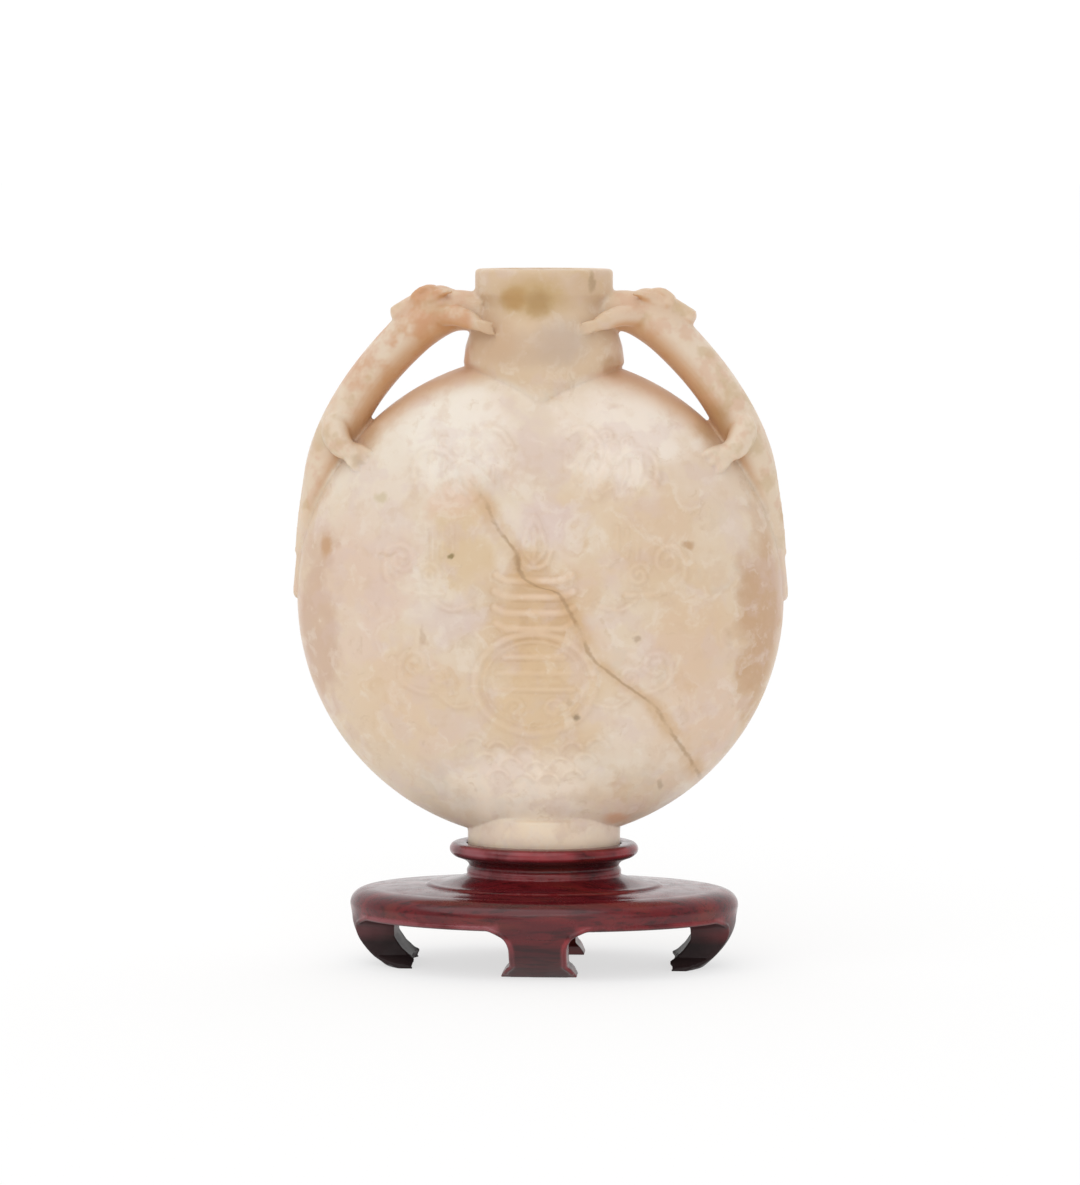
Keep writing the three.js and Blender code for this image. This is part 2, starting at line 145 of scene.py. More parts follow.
def mesh_object(name, bm):
    """Makes an object of a bmesh, with its faces pointing out."""
    bmesh.ops.recalc_face_normals(bm, faces=bm.faces)
    mesh = bpy.data.meshes.new(name)
    bm.to_mesh(mesh)
    bm.free()
    made = bpy.data.objects.new(name, mesh)
    bpy.context.collection.objects.link(made)
    return made


def applied(piece):
    """Gives a piece the mesh that its modifiers make, and takes the modifiers off."""
    graph = bpy.context.evaluated_depsgraph_get()
    mesh = bpy.data.meshes.new_from_object(piece.evaluated_get(graph))
    piece.modifiers.clear()
    piece.data = mesh


def loft(bm, frames, sides):
    """A closed tube through round sections, each a unit circle placed by its own matrix."""
    made = bmesh.ops.create_circle(bm, cap_ends=True, radius=1, segments=sides, matrix=frames[0])
    first = end = made["verts"][0].link_faces[0]
    for before, after in zip(frames, frames[1:]):
        grown = bmesh.ops.extrude_face_region(bm, geom=[end])
        if end is not first:
            bmesh.ops.delete(bm, geom=[end], context="FACES_ONLY")
        end = next(item for item in grown["geom"] if isinstance(item, bmesh.types.BMFace))
        bmesh.ops.transform(bm, matrix=after @ before.inverted(), verts=end.verts)


def oval(z, half_width, half_depth, centre_x=axis_offset):
    """The matrix of a level oval section."""
    return Matrix.Translation((centre_x, 0, z)) @ Matrix.Diagonal((half_width, half_depth, 1, 1))


def catmull(values, share):
    """The value at a share of the way along a smooth line through the values given."""
    reach = share * (len(values) - 1)
    at = min(int(reach), len(values) - 2)
    step = reach - at
    p1, p2 = values[at], values[at + 1]
    p0 = values[at - 1] if at > 0 else p1 * 2 - p2
    p3 = values[at + 2] if at + 2 < len(values) else p2 * 2 - p1
    return (p1 * 2 + (p2 - p0) * step + (p0 * 2 - p1 * 5 + p2 * 4 - p3) * step ** 2
            + (p1 * 3 - p0 - p2 * 3 + p3) * step ** 3) * 0.5


def limb(bm, stops, steps=28, sides=16):
    """A limb that swells and tapers along a curve: each stop is (x, y, z, thickness, depth)."""
    places = [Vector(stop[:3]) for stop in stops]
    girths = [Vector(stop[3:5]) for stop in stops]
    frames = []
    for step in range(steps + 1):
        share = step / steps
        along = (catmull(places, min(share + 0.01, 1)) - catmull(places, max(share - 0.01, 0))).normalized()
        across = (Vector((0, 1, 0)) - along * along.y).normalized()
        thick = across.cross(along)
        girth = catmull(girths, share)
        point = catmull(places, share)
        turned = Matrix([thick * max(girth.x, 0.2), across * max(girth.y, 0.2), along]).transposed().to_4x4()
        frames.append(Matrix.Translation(point) @ turned)
    loft(bm, frames, sides)


def ball(bm, centre, radii):
    """A small ellipsoid, for eyes, nostrils and knuckles."""
    placed = Matrix.Translation(centre) @ Matrix.Diagonal((*radii, 1))
    bmesh.ops.create_uvsphere(bm, u_segments=20, v_segments=12, radius=1, matrix=placed)


def turned_disc(bm, offset, steps):
    """The disc, turned about its front-to-back axis, larger or smaller all round by one offset."""
    radius = disc_radius + offset
    half_depth = disc_half_depth + offset
    rings = 40
    previous = None
    for ring in range(-rings, rings + 1):
        share = sin(pi / 2 * (1 - abs(ring) / rings))
        depth = half_depth * sqrt(max(1 - share ** disc_fullness, 0)) * (1 if ring > 0 else -1)
        vert = bm.verts.new((radius * share, depth, disc_z))
        if previous:
            bm.edges.new((previous, vert))
        previous = vert
    bmesh.ops.spin(bm, geom=bm.verts[:] + bm.edges[:], cent=(0, 0, disc_z), axis=(0, 1, 0), dvec=(0, 0, 0),
                   angle=tau, steps=steps, use_merge=True)
    bmesh.ops.remove_doubles(bm, verts=bm.verts, dist=0.001)


def neck_frames():
    """Sections of the neck: a tongue on the disc's face, a flare, the throat, and the plain lip."""
    def section(z, half_width, half_depth=None):
        return oval(z, half_width, half_depth or half_width * neck_depth_share)

    low = disc_top - 3
    throat = mouth_z - throat_below_mouth
    lip_low = mouth_z - lip_height
    flare = neck_base_half_width - throat_half_width
    lip = lip_half_width - throat_half_width
    frames = [
        section(low - 14.5, neck_base_half_width * 0.16, 20.3),
        section(low - 9.5, neck_base_half_width * 0.5, 19.8),
        section(low - 4.5, neck_base_half_width * 0.82, 18.9),
        section(low, neck_base_half_width, 17.9),
    ]
    for share in (0.3, 0.55, 0.7, 0.82, 0.92):
        curve = cos(share * pi / 2) ** 1.1
        frames.append(section(low + (throat - low) * share, throat_half_width + flare * curve))
    frames.append(section(throat, throat_half_width))
    for share in (0.35, 0.6, 0.8, 0.93):
        curve = share ** 2.2 * 0.8
        frames.append(section(throat + (lip_low - throat) * share, throat_half_width + lip * curve))
    frames.append(section(lip_low, lip_half_width - 0.25))
    frames.append(section(lip_low + 0.6, lip_half_width))
    frames.append(section(mouth_z - 1.1, lip_half_width))
    frames.append(section(mouth_z - 0.35, lip_half_width - 0.3))
    frames.append(section(mouth_z, lip_half_width - 1.1))
    return frames


def edge_stop(degrees, rise, y, thickness, depth=None):
    """A stop of a limb, by its angle from the top of the disc and its rise above the disc's edge."""
    reach = disc_radius + rise
    angle = radians(degrees)
    return (reach * sin(angle), y, disc_z + reach * cos(angle), thickness, depth or thickness)


def face_stop(degrees, inset, proud, thickness, face):
    """A stop that lies on a face of the disc, inside its edge; face is -1 in front and 1 behind."""
    surface = disc_half_depth * sqrt(1 - ((disc_radius - inset) / disc_radius) ** disc_fullness)
    return edge_stop(degrees, -inset, face * (surface + proud), thickness)


def dragon(bm, drawn_in):
    """The animal on the right: trunk and tail, head turned outwards, legs on the neck and on the disc.
    The head is drawn in towards the neck by an angle in degrees."""
    def arch(share):
        return share * neck_height

    neck_end = (throat_half_width - neck_wall * 0.3, 0, mouth_z - neck_height * 0.507, 6.2, 6.9)
    trunk = [
        (17.2, 0.66, 6.8), (23.4, 0.63, 7.5), (29.7, 0.52, 7.3), (36.7, 0.405, 7.1), (43.6, 0.3, 7.1),
        (50.9, 0.19, 7.3), (58.2, 0.108, 6.4), (65.5, 0.043, 4.5), (72.3, 0, 3.3), (79.7, -0.036, 2.6),
        (86.3, -0.04, 2.5), (89.3, -0.036, 2.4), (90.6, -0.05, 0.8),
    ]
    limb(bm, [neck_end] + [edge_stop(degrees, arch(rise), 0, thickness, thickness * handle_depth_share)
                           for degrees, rise, thickness in trunk], steps=90, sides=28)
    spine = [edge_stop(degrees, arch(rise) + thickness * 0.93, 0, 0.9)
             for degrees, rise, thickness in trunk[1:-3]]
    limb(bm, spine, steps=60, sides=10)
    crown = arch(0.855)
    head = [(17.2, 1.6, 3.2), (18.9, 3.6, 6.2), (21.6, 4.4, 6.6), (24.3, 4.0, 5.4), (26.8, 3.5, 4.4),
            (28.4, 3.1, 4.4), (29.1, 1.4, 2.6)]
    limb(bm, [edge_stop(degrees - drawn_in, crown, 0, thickness, depth)
              for degrees, thickness, depth in head], steps=36, sides=24)
    for side in (-1, 1):
        brow = [(19.4, 2.6, 3, 0.9), (21.4, 4.1, 3.7, 1.3), (23.6, 3.6, 4.1, 1.1), (24.8, 2.2, 4.3, 0.5)]
        ear = [(21.2, 0.5, 4, 1.9), (19.4, 1.3, 6, 1.5), (18, 1.1, 6.8, 1), (17, 0.4, 7, 0.5)]
        for feature in (brow, ear):
            limb(bm, [edge_stop(degrees - drawn_in, crown + rise, side * y, thickness)
                      for degrees, rise, y, thickness in feature], steps=12, sides=12)
        ball(bm, edge_stop(23.4 - drawn_in, crown + 1.6, side * 5, 1)[:3], (1.5, 1.2, 1.5))
        ball(bm, edge_stop(28.2 - drawn_in, crown + 2, side * 2.2, 1)[:3], (1.2, 1.1, 1.2))
        limb(bm, [edge_stop(19.7, arch(0.66), side * throat_half_depth * 0.35, 3.6),
                  edge_stop(16.2, arch(0.6), side * throat_half_depth * 0.66, 3.4, 3.2),
                  edge_stop(13.5, arch(0.5), side * throat_half_depth * 0.83, 3, 2.6),
                  edge_stop(11.6, arch(0.41), side * throat_half_depth * 0.9, 1.8, 1.5)], steps=20)
        for spread in (-1, 0, 1):
            limb(bm, [edge_stop(12.6, arch(0.45 + 0.02 * spread), side * throat_half_depth * 0.93, 1.1),
                      edge_stop(10.6, arch(0.39 + 0.045 * spread), side * throat_half_depth, 1.05),
                      edge_stop(8.8, arch(0.35 + 0.06 * spread), side * throat_half_depth, 0.4)],
                 steps=8, sides=10)
        limb(bm, [edge_stop(47.5, arch(0.3), side * 4, 3.4),
                  edge_stop(50.2, arch(0.24), side * 7.6, 4.6, 4),
                  edge_stop(51.8, arch(0.08), side * 10, 4.2, 3.4),
                  face_stop(51.7, 2.4, 3, 3, side)], steps=20)
        ball(bm, face_stop(51.5, 2.8, 2.6, 1, side)[:3], (3.1, 2.6, 3.1))
        for spread in (-1, 0, 1):
            limb(bm, [face_stop(51.7 - spread * 0.8, 1, 2.6, 1.8, side),
                      face_stop(51.4 - spread * 1.7, 3.6, 1.9, 1.9, side),
                      face_stop(51.2 - spread * 2.4, 6, 0.7, 1.5, side),
                      face_stop(51 - spread * 2.8, 8.6, -0.4, 0.5, side)], steps=12, sides=12)


def soft_step(values, low, high):
    """0 below low, 1 above high, and a smooth rise between."""
    share = np.clip((values - low) / (high - low), 0, 1)
    return share * share * (3 - 2 * share)


def disc_skin(points):
    """How far points are outside the disc's surface, and the way straight out of it."""
    x, y, up = points[:, 0], points[:, 1], points[:, 2] - disc_z
    distance = np.maximum(np.hypot(x, up), 1e-6)
    share = distance / disc_radius
    value = share ** disc_fullness + (y / disc_half_depth) ** 2 - 1
    slope_out = disc_fullness * share ** (disc_fullness - 1) / disc_radius
    slope_y = 2 * y / disc_half_depth ** 2
    size = np.maximum(np.hypot(slope_out, slope_y), 1e-6)
    out = np.stack([slope_out * x / distance, slope_y, slope_out * up / distance], axis=1) / size[:, None]
    return value / size, out


def arc(u, w, radius, start, end, count=10):
    """Points on a round arc, between two angles in degrees."""
    angles = [radians(start + (end - start) * i / count) for i in range(count + 1)]
    return [(u + radius * cos(a), w + radius * sin(a)) for a in angles]


def scroll(u, w, size, side, turns=1.35, start=0.0, count=18):
    """Points on a scroll that winds in on itself."""
    points = []
    for i in range(count + 1):
        angle = start + turns * tau * i / count
        radius = size * (1 - 0.78 * i / count)
        points.append((u + side * radius * cos(angle), w + radius * sin(angle)))
    return points


def smooth_line(points, parts=5):
    """A smooth line through a few points, as more points."""
    values = [Vector(point) for point in points]
    count = parts * (len(points) - 1)
    return [tuple(catmull(values, i / count)) for i in range(count + 1)]


def cloud(u, w, size, side):
    """A cloud of two scrolls and trailing tails."""
    return [
        (scroll(u, w, size * 0.62, side), stroke_width),
        (scroll(u - side * size * 1.05, w - size * 0.5, size * 0.42, side, start=0.6), stroke_width * 0.9),
        (smooth_line([(u + side * size * 0.6, w), (u + side * size * 0.5, w - size * 0.7),
                      (u - side * size * 0.3, w - size * 1.15),
                      (u - side * size * 1.5, w - size * 1.2)]), stroke_width),
        (smooth_line([(u - side * size * 0.9, w - size * 1.2), (u - side * size * 1.7, w - size * 1.75),
                      (u - side * size * 2.5, w - size * 1.6)]), stroke_width * 0.8),
    ]


def bat(u, w, half_span, tilt):
    """A flying bat, seen from above: ribbed, scalloped wings either side of a short body."""
    def turned(points):
        return [(u + half_span * (a * cos(tilt) - b * sin(tilt)),
                 w + half_span * (a * sin(tilt) + b * cos(tilt))) for a, b in points]

    strokes = [
        (turned([(0, 0.42), (0, -0.5)]), 3.8),
        (turned(arc(0, 0.46, 0.1, 0, 360)), 1.6),
    ]
    for side in (-1, 1):
        strokes.append((turned(smooth_line([(side * 0.12, 0.2), (side * 0.32, 0.5), (side * 0.62, 0.62),
                                            (side * 0.9, 0.46), (side * 1.02, 0.08)])), 2.0))
        strokes.append((turned(smooth_line([(side, 0.1), (side * 0.84, 0.1), (side * 0.72, -0.22),
                                            (side * 0.56, -0.08), (side * 0.42, -0.38), (side * 0.28, -0.2),
                                            (side * 0.1, -0.42)], 4)), 1.5))
        for rib in ([(0.3, 0.36), (0.42, 0.1), (0.42, -0.2)], [(0.55, 0.5), (0.68, 0.22), (0.7, -0.05)]):
            strokes.append((turned(smooth_line([(side * a, b) for a, b in rib])), 1.2))
        strokes.append((turned(scroll(side * 0.2, 0.62, 0.13, side, turns=1.1)), 1.1))
    return strokes


def bars():
    """Stacked bars with flared ends, under a bud of three petals."""
    strokes = []
    for row, w in enumerate(bar_tops):
        half = 13 - abs(row - 1.5) * 0.6
        line = [(-half, w + 1.8), (-half * 0.8, w + 0.4), (-half * 0.55, w),
                (half * 0.55, w), (half * 0.8, w + 0.4), (half, w + 1.8)]
        strokes.append((smooth_line(line, 3), 2.3))
    foot = 13.7
    for side in (-1, 1):
        petal = [(0, foot), (side * 3.4, foot + 4.5), (side * 2.6, foot + 9.5), (0, foot + 15.5)]
        strokes.append((smooth_line(petal), 1.5))
    strokes.append(([(0, foot), (0, foot + 11)], 1.5))
    cup = [(-5.6, foot + 4.4), (-3, foot - 0.6), (3, foot - 0.6), (5.6, foot + 4.4)]
    strokes.append((smooth_line(cup), 1.6))
    return strokes


def medallion():
    """A round band, and inside it rows of plain strokes over curls."""
    def ring(share):
        return [(medallion_half_width * share * cos(a),
                 medallion_centre + medallion_half_height * share * sin(a))
                for a in (tau * i / 48 for i in range(49))]

    strokes = [(ring(0.94), 2.4), (ring(0.79), 0.9)]
    for row in (0.5, 0.2, -0.1):
        w = medallion_centre + medallion_half_height * row
        half = medallion_half_width * (0.64 - abs(row) * 0.35)
        strokes.append(([(-half, w), (half, w)], 1.9))
    for side in (-1, 1):
        low = medallion_centre - medallion_half_height * 0.46
        strokes.append((scroll(side * medallion_half_width * 0.3, low, 3.6, side, turns=1.2), 1.5))
    return strokes


def front_strokes():
    """Everything carved on the front of the disc: each a line of [across, up] points and its width."""
    strokes = bars() + medallion()
    for row, w in enumerate(wave_rows):
        count = 6 - row
        for i in range(count):
            place = i - (count - 1) / 2
            strokes.append((arc(place * 8, w + abs(place) * 1.2, 3.4, 20, 160), 1.5))
    for side in (-1, 1):
        strokes += bat(side * bat_spread, bat_rise, 16.5, -side * 0.35)
        strokes += cloud(side * 43, 14.5, 9, side)
        strokes += cloud(side * 39, -19.2, 7.8, side)
        for i in range(3):
            strokes.append(([(side * (26.5 + 3.2 * i), 25.5 - i), (side * (26.5 + 3.2 * i), 17 - i)], 1.3))
    return strokes


def back_strokes():
    """The plainer back: the medallion and the two bats."""
    strokes = medallion()
    for side in (-1, 1):
        strokes += bat(side * bat_spread, bat_rise, 16.5, -side * 0.35)
    return strokes


def line_distance(u, w, points):
    """How far places are from a line of points."""
    nearest = np.full(len(u), 1e9)
    for (u0, w0), (u1, w1) in zip(points, points[1:]):
        length = max((u1 - u0) ** 2 + (w1 - w0) ** 2, 1e-9)
        share = np.clip(((u - u0) * (u1 - u0) + (w - w0) * (w1 - w0)) / length, 0, 1)
        nearest = np.minimum(nearest, np.hypot(u - u0 - share * (u1 - u0), w - w0 - share * (w1 - w0)))
    return nearest


def carved(u, w, strokes):
    """Height of the relief at places on a face, from 0 to 1, and how near each is to the foot of a stroke."""
    height = np.zeros(len(u))
    foot = np.full(len(u), 1e9)
    for points, width in strokes:
        low = np.min(points, axis=0) - 5
        high = np.max(points, axis=0) + 5
        near = np.nonzero((u > low[0]) & (u < high[0]) & (w > low[1]) & (w < high[1]))[0]
        if len(near):
            distance = line_distance(u[near], w[near], points)
            rise = 1 - soft_step(distance, width / 2 - 0.9, width / 2 + 0.55)
            height[near] = np.maximum(height[near], rise)
            foot[near] = np.minimum(foot[near], np.abs(distance - width / 2 - 0.2))
    return height, foot


def relief_left(u, w):
    """How much of the relief is left, from 0 to 1: crisp in the middle, rubbed down towards the edge."""
    middle = np.exp(-(u / 25) ** 2 - ((w - 1) / 20) ** 2)
    rubbed = 0.5 + 0.5 * np.sin(u * 0.23 + 1.3 * np.sin(w * 0.11)) * np.sin(w * 0.19 + 0.8)
    return (0.4 + 0.6 * middle) * (0.7 + 0.3 * rubbed)


def on_face(points, front):
    """How surely points lie on one face of the disc, from 0 to 1, and their places across and up."""
    outside, _ = disc_skin(points)
    facing = -points[:, 1] if front else points[:, 1]
    sure = (1 - soft_step(np.abs(outside), 1.3, 2.2)) * soft_step(facing, 4, 9)
    across = points[:, 0] if front else -points[:, 0]
    return sure, across, points[:, 2] - disc_z


def read_points(piece):
    """Where a piece's points are, one row for each."""
    flat = np.empty(len(piece.data.vertices) * 3, dtype=np.float32)
    piece.data.vertices.foreach_get("co", flat)
    return flat.reshape(-1, 3).astype(float)


def write_points(piece, points):
    """Moves a piece's points to new places."""
    piece.data.vertices.foreach_set("co", points.astype(np.float32).ravel())
    piece.data.update()


def write_mask(piece, name, values):
    """Keeps a value for each point of a piece, which its material reads by name."""
    mask = piece.data.attributes.new(name, "FLOAT", "POINT")
    mask.data.foreach_set("value", np.clip(values, 0, 1).astype(np.float32))


def one_skin(piece, grain, rounds):
    """Joins overlapping forms into one skin of even grain, and wears its edges soft."""
    remesh = piece.modifiers.new("One skin", "REMESH")
    remesh.mode = "VOXEL"
    remesh.voxel_size = grain
    smooth = piece.modifiers.new("Worn", "SMOOTH")
    smooth.factor = 0.5
    smooth.iterations = rounds
    applied(piece)


def thinned(piece, triangles):
    """Brings a piece near a number of triangles, keeping most of them where it curves."""
    thin = piece.modifiers.new("Thinned", "DECIMATE")
    thin.ratio = triangles / (2 * len(piece.data.polygons))
    applied(piece)


def cut(piece, cutter):
    """Cuts one form out of a piece."""
    take = piece.modifiers.new("Cut", "BOOLEAN")
    take.operation = "DIFFERENCE"
    take.solver = "EXACT"
    take.object = cutter
    applied(piece)
    bpy.data.objects.remove(cutter)


def finished(piece, low, high):
    """Keeps a piece inside its node's box, smooths its shading and brings it to metres."""
    margin = 0.004
    points = np.clip(read_points(piece), np.array(low) + margin, np.array(high) - margin)
    write_points(piece, points * MM)
    piece.data.shade_smooth()


def make_flask():
    """The flask: disc, neck, foot and dragons in one skin, carved, then hollowed from the mouth."""
    bm = bmesh.new()
    turned_disc(bm, 0, 160)
    loft(bm, neck_frames(), 96)
    loft(bm, [
        oval(foot_z, foot_half_width - 0.8, foot_half_depth - 0.8),
        oval(foot_z + 0.3, foot_half_width - 0.25, foot_half_depth - 0.25),
        oval(foot_z + 0.9, foot_half_width, foot_half_depth),
        oval(foot_z + foot_below_disc + 8, foot_half_width, foot_half_depth),
    ], 96)
    dragon(bm, 0)
    left = bmesh.new()
    dragon(left, left_head_drawn_in)
    bmesh.ops.scale(left, vec=(-1, 1, 1), verts=left.verts)
    bmesh.ops.reverse_faces(left, faces=left.faces)
    animal = bpy.data.meshes.new("left_dragon")
    left.to_mesh(animal)
    left.free()
    bm.from_mesh(animal)
    flask = mesh_object("marble_moon_flask", bm)
    one_skin(flask, flask_grain * coarse, 4)
    points = read_points(flask)
    for _ in range(2):
        outside, out = disc_skin(points)
        near = 1 - soft_step(np.abs(outside), 0.12, 0.5)
        points -= (outside * near)[:, None] * out
    outside, out = disc_skin(points)
    for front, strokes in ((True, front_strokes()), (False, back_strokes())):
        sure, across, up = on_face(points, front)
        height, _ = carved(across, up, strokes)
        points += (relief_height * height * relief_left(across, up) * sure)[:, None] * out
    sure, across, up = on_face(points, True)
    groove = 1 - soft_step(line_distance(across, up, crack_line), 0.1, 1.1)
    points -= (crack_depth * groove * sure)[:, None] * out
    write_points(flask, points)
    thinned(flask, flask_triangles)
    hollow = bmesh.new()
    turned_disc(hollow, -disc_wall, 64)
    cut(flask, mesh_object("hollow", hollow))
    bore_half_width = throat_half_width - neck_wall
    bore_half_depth = throat_half_depth - neck_wall
    bore = bmesh.new()
    loft(bore, [
        oval(disc_top - disc_wall - 12, bore_half_width, bore_half_depth),
        oval(mouth_z - 2.2, bore_half_width, bore_half_depth),
        oval(mouth_z - 1, bore_half_width + 0.35, bore_half_depth + 0.35),
        oval(mouth_z - 0.3, bore_half_width + 1, bore_half_depth + 1),
        oval(mouth_z + 1, bore_half_width + 2.2, bore_half_depth + 2.2),
    ], 64)
    cut(flask, mesh_object("bore", bore))
    under = bmesh.new()
    loft(under, [
        oval(foot_z - 1, foot_half_width - foot_rim_width, foot_half_depth - foot_rim_width),
        oval(foot_z + foot_hollow, foot_half_width - foot_rim_width - 1,
             foot_half_depth - foot_rim_width - 1),
    ], 64)
    cut(flask, mesh_object("under", under))
    return flask


def mark_flask(flask):
    """Marks regions for the marble: neck, handles, the ochre and painted shade on their inner sides and under
    them, the left side, the dirt and painted shade at the foot of the carving, and a painted highlight on its
    crests."""
    points = read_points(flask)
    normals = np.empty(len(points) * 3, dtype=np.float32)
    flask.data.vertex_normals.foreach_get("vector", normals)
    normals = normals.reshape(-1, 3)
    outside, _ = disc_skin(points)
    x, height = points[:, 0], points[:, 2] - disc_z
    side = np.abs(x - axis_offset)
    on_neck = 1 - soft_step(side, 22, 25)
    tongue = soft_step(height + 0.35 * side, 60, 74)
    neck = np.maximum(soft_step(outside, 0.3, 2.6), soft_step(height, 78, 82)) * tongue * on_neck
    handle = soft_step(outside, 0.2, 2.4) * soft_step(side, 21, 24.5) * soft_step(height, -10, 0)
    radial = points - np.array([0, 0, disc_z])
    radial /= np.linalg.norm(radial, axis=1)[:, None]
    # Ochre and painted shade: the handles' inner sides, the disc's shoulder under them and the crotch between
    # them
    facing_in = soft_step(-(normals * radial).sum(axis=1), -0.3, 0.65)
    shoulder = np.hypot(x, height) / disc_radius
    sheltered = soft_step(shoulder, 0.9, 0.99) * soft_step(height, 45, 60) * (1 - handle) * (1 - neck)
    write_mask(flask, "neck", neck)
    write_mask(flask, "handle", handle)
    crotch = soft_step(shoulder, 0.985, 1) * (1 - soft_step(shoulder, 1.02, 1.06))
    crotch *= soft_step(height, 42, 56) * (1 - soft_step(np.abs(points[:, 1]), 5, 9))
    write_mask(flask, "ochre_and_shade_by_handles", np.maximum.reduce([handle * facing_in, sheltered * 0.85, crotch * 0.9]))
    write_mask(flask, "left", soft_step(-x, -4, 4))
    # Dirt and painted shade at the foot of the carving
    dirt_and_crevice_shade = np.zeros(len(points))
    # Painted highlight on the crests of the carving
    crest_highlight = np.zeros(len(points))
    for front, strokes in ((True, front_strokes()), (False, back_strokes())):
        sure, across, up = on_face(points, front)
        raised, foot = carved(across, up, strokes)
        kept = sure * relief_left(across, up)
        dirt_and_crevice_shade = np.maximum(dirt_and_crevice_shade, (1 - soft_step(foot, 0, 1.1)) * kept)
        crest_highlight = np.maximum(crest_highlight, raised * kept ** 2)
    write_mask(flask, "dirt_and_crevice_shade", dirt_and_crevice_shade)
    write_mask(flask, "crest_highlight", crest_highlight)


def mixed(first, last, share):
    """The value at a share of the way from one value to another."""
    return first * (1 - share) + last * share


def table_oval(z, inset):
    """A section of the table's family: it keeps the same distance all round from the table's edge."""
    return oval(z, table_half_width - inset, table_half_depth - inset)


def collar_oval(z, outside):
    """A section of the collar's family, as far outside the flask's foot all round."""
    return oval(z, foot_half_width + outside, foot_half_depth + outside)


def skirt_inset(z):
    """How far the legs stand in from the table's edge at a height."""
    return 0.7 + (foot_inset - 0.7) * (1 - min(z / leg_height, 1)) ** 1.9


def stand_frames():
    """Sections of the whole stand from the ground up: legs' ring, table, step, waist and collar."""
    dome_inset = 8
    frames = [table_oval(leg_height * i / 16, skirt_inset(leg_height * i / 16)) for i in range(17)]
    for i in range(1, 13):
        angle = pi / 2 * i / 12
        frames.append(table_oval(leg_height + 3.2 + (table_thickness - 3.9) * sin(angle),
                                 dome_inset * (1 - cos(angle)) ** 1.25))
    ring_z = table_top
    for share in (0.25, 0.5, 0.75, 1):
        frames.append(oval(ring_z - 0.7 * (1 - share) ** 1.6,
                           mixed(table_half_width - dome_inset, ring_half_width + 0.5, share),
                           mixed(table_half_depth - dome_inset, ring_half_depth + 0.5, share)))
    frames.append(oval(ring_z - 0.5, ring_half_width + 0.3, ring_half_depth + 0.3))
    frames.append(oval(ring_z - 0.5, ring_half_width, ring_half_depth))
    frames.append(oval(ring_z + ring_step - 0.3, ring_half_width, ring_half_depth))
    frames.append(oval(ring_z + ring_step, ring_half_width - 0.5, ring_half_depth - 0.5))
    for i in range(1, 9):
        share = i / 8
        frames.append(oval(ring_z + ring_step + (waist_rise - ring_step - 2.4) * share ** 1.7,
                           mixed(ring_half_width - 0.5, foot_half_width + 0.8, share),
                           mixed(ring_half_depth - 0.5, foot_half_depth + 0.8, share)))
    for i in range(9):
        angle = pi * i / 8
        frames.append(collar_oval(waist_z - 0.9 - 1.4 * cos(angle), -0.4 + 0.8 * sin(angle)))
    low = waist_z + 0.9
    rim = seat_clearance + collar_wall
    lip = 2.2
    for i in range(1, 9):
        share = i / 8
        frames.append(collar_oval(low + (collar_top - 2 * lip - low) * share,
                                  -0.4 + (rim - 1.0) * share ** 2.1))
    for i in range(1, 10):
        angle = -pi / 2 + pi * i / 10
        frames.append(collar_oval(collar_top - lip + lip * sin(angle), rim - lip + lip * cos(angle)))
    frames.append(collar_oval(collar_top, rim - lip - 0.2))
    return frames


def leg_side(z):
    """Half the width of a leg at a height: flared toe, straight shank, and the arc into the apron."""
    if z < toe_height * 1.5:
        return leg_half_width + toe_flare * (1 - max(z, 0) / (toe_height * 1.5)) ** 0.6
    arc_foot = leg_height - leg_arc
    if z < arc_foot:
        return leg_half_width
    rise = min(z - arc_foot, leg_arc)
    return leg_half_width + leg_arc - sqrt(leg_arc ** 2 - rise ** 2)


def skirt_point(angle, z):
    """A point on the outside of the legs' ring."""
    inset = skirt_inset(z)
    return Vector((axis_offset + (table_half_width - inset) * cos(angle),
                   (table_half_depth - inset) * sin(angle), z))


def edge_bead(bm, along_x, along_y):
    """The bead that follows one opening: up a front or back leg, along the apron and down a side leg."""
    lip = 0.9
    heights = [leg_height * i / 12 for i in range(1, 13)]

    def beside_leg(z, half_table, angle_of):
        """A point inside a leg's edge, or above the opening's corner at the top of the leg."""
        at_top = z == leg_height
        place = leg_side(z) - (0 if at_top else lip)
        angle = angle_of(place / (half_table - skirt_inset(z)))
        return skirt_point(angle, z + (lip if at_top else 0))

    path = [beside_leg(z, table_half_width, np.arccos) for z in heights]
    front_angle = np.arccos((leg_half_width + leg_arc) / (table_half_width - 0.7))
    side_angle = np.arcsin((leg_half_width + leg_arc) / (table_half_depth - 0.7))
    for i in range(1, 16):
        path.append(skirt_point(front_angle + (side_angle - front_angle) * i / 16, leg_height + lip))
    path += [beside_leg(z, table_half_depth, np.arcsin) for z in reversed(heights)]
    turned = [Vector((axis_offset + (p.x - axis_offset) * along_x, p.y * along_y, p.z)) for p in path]
    limb(bm, [(*p, bead_radius, bead_radius) for p in turned], steps=110, sides=10)


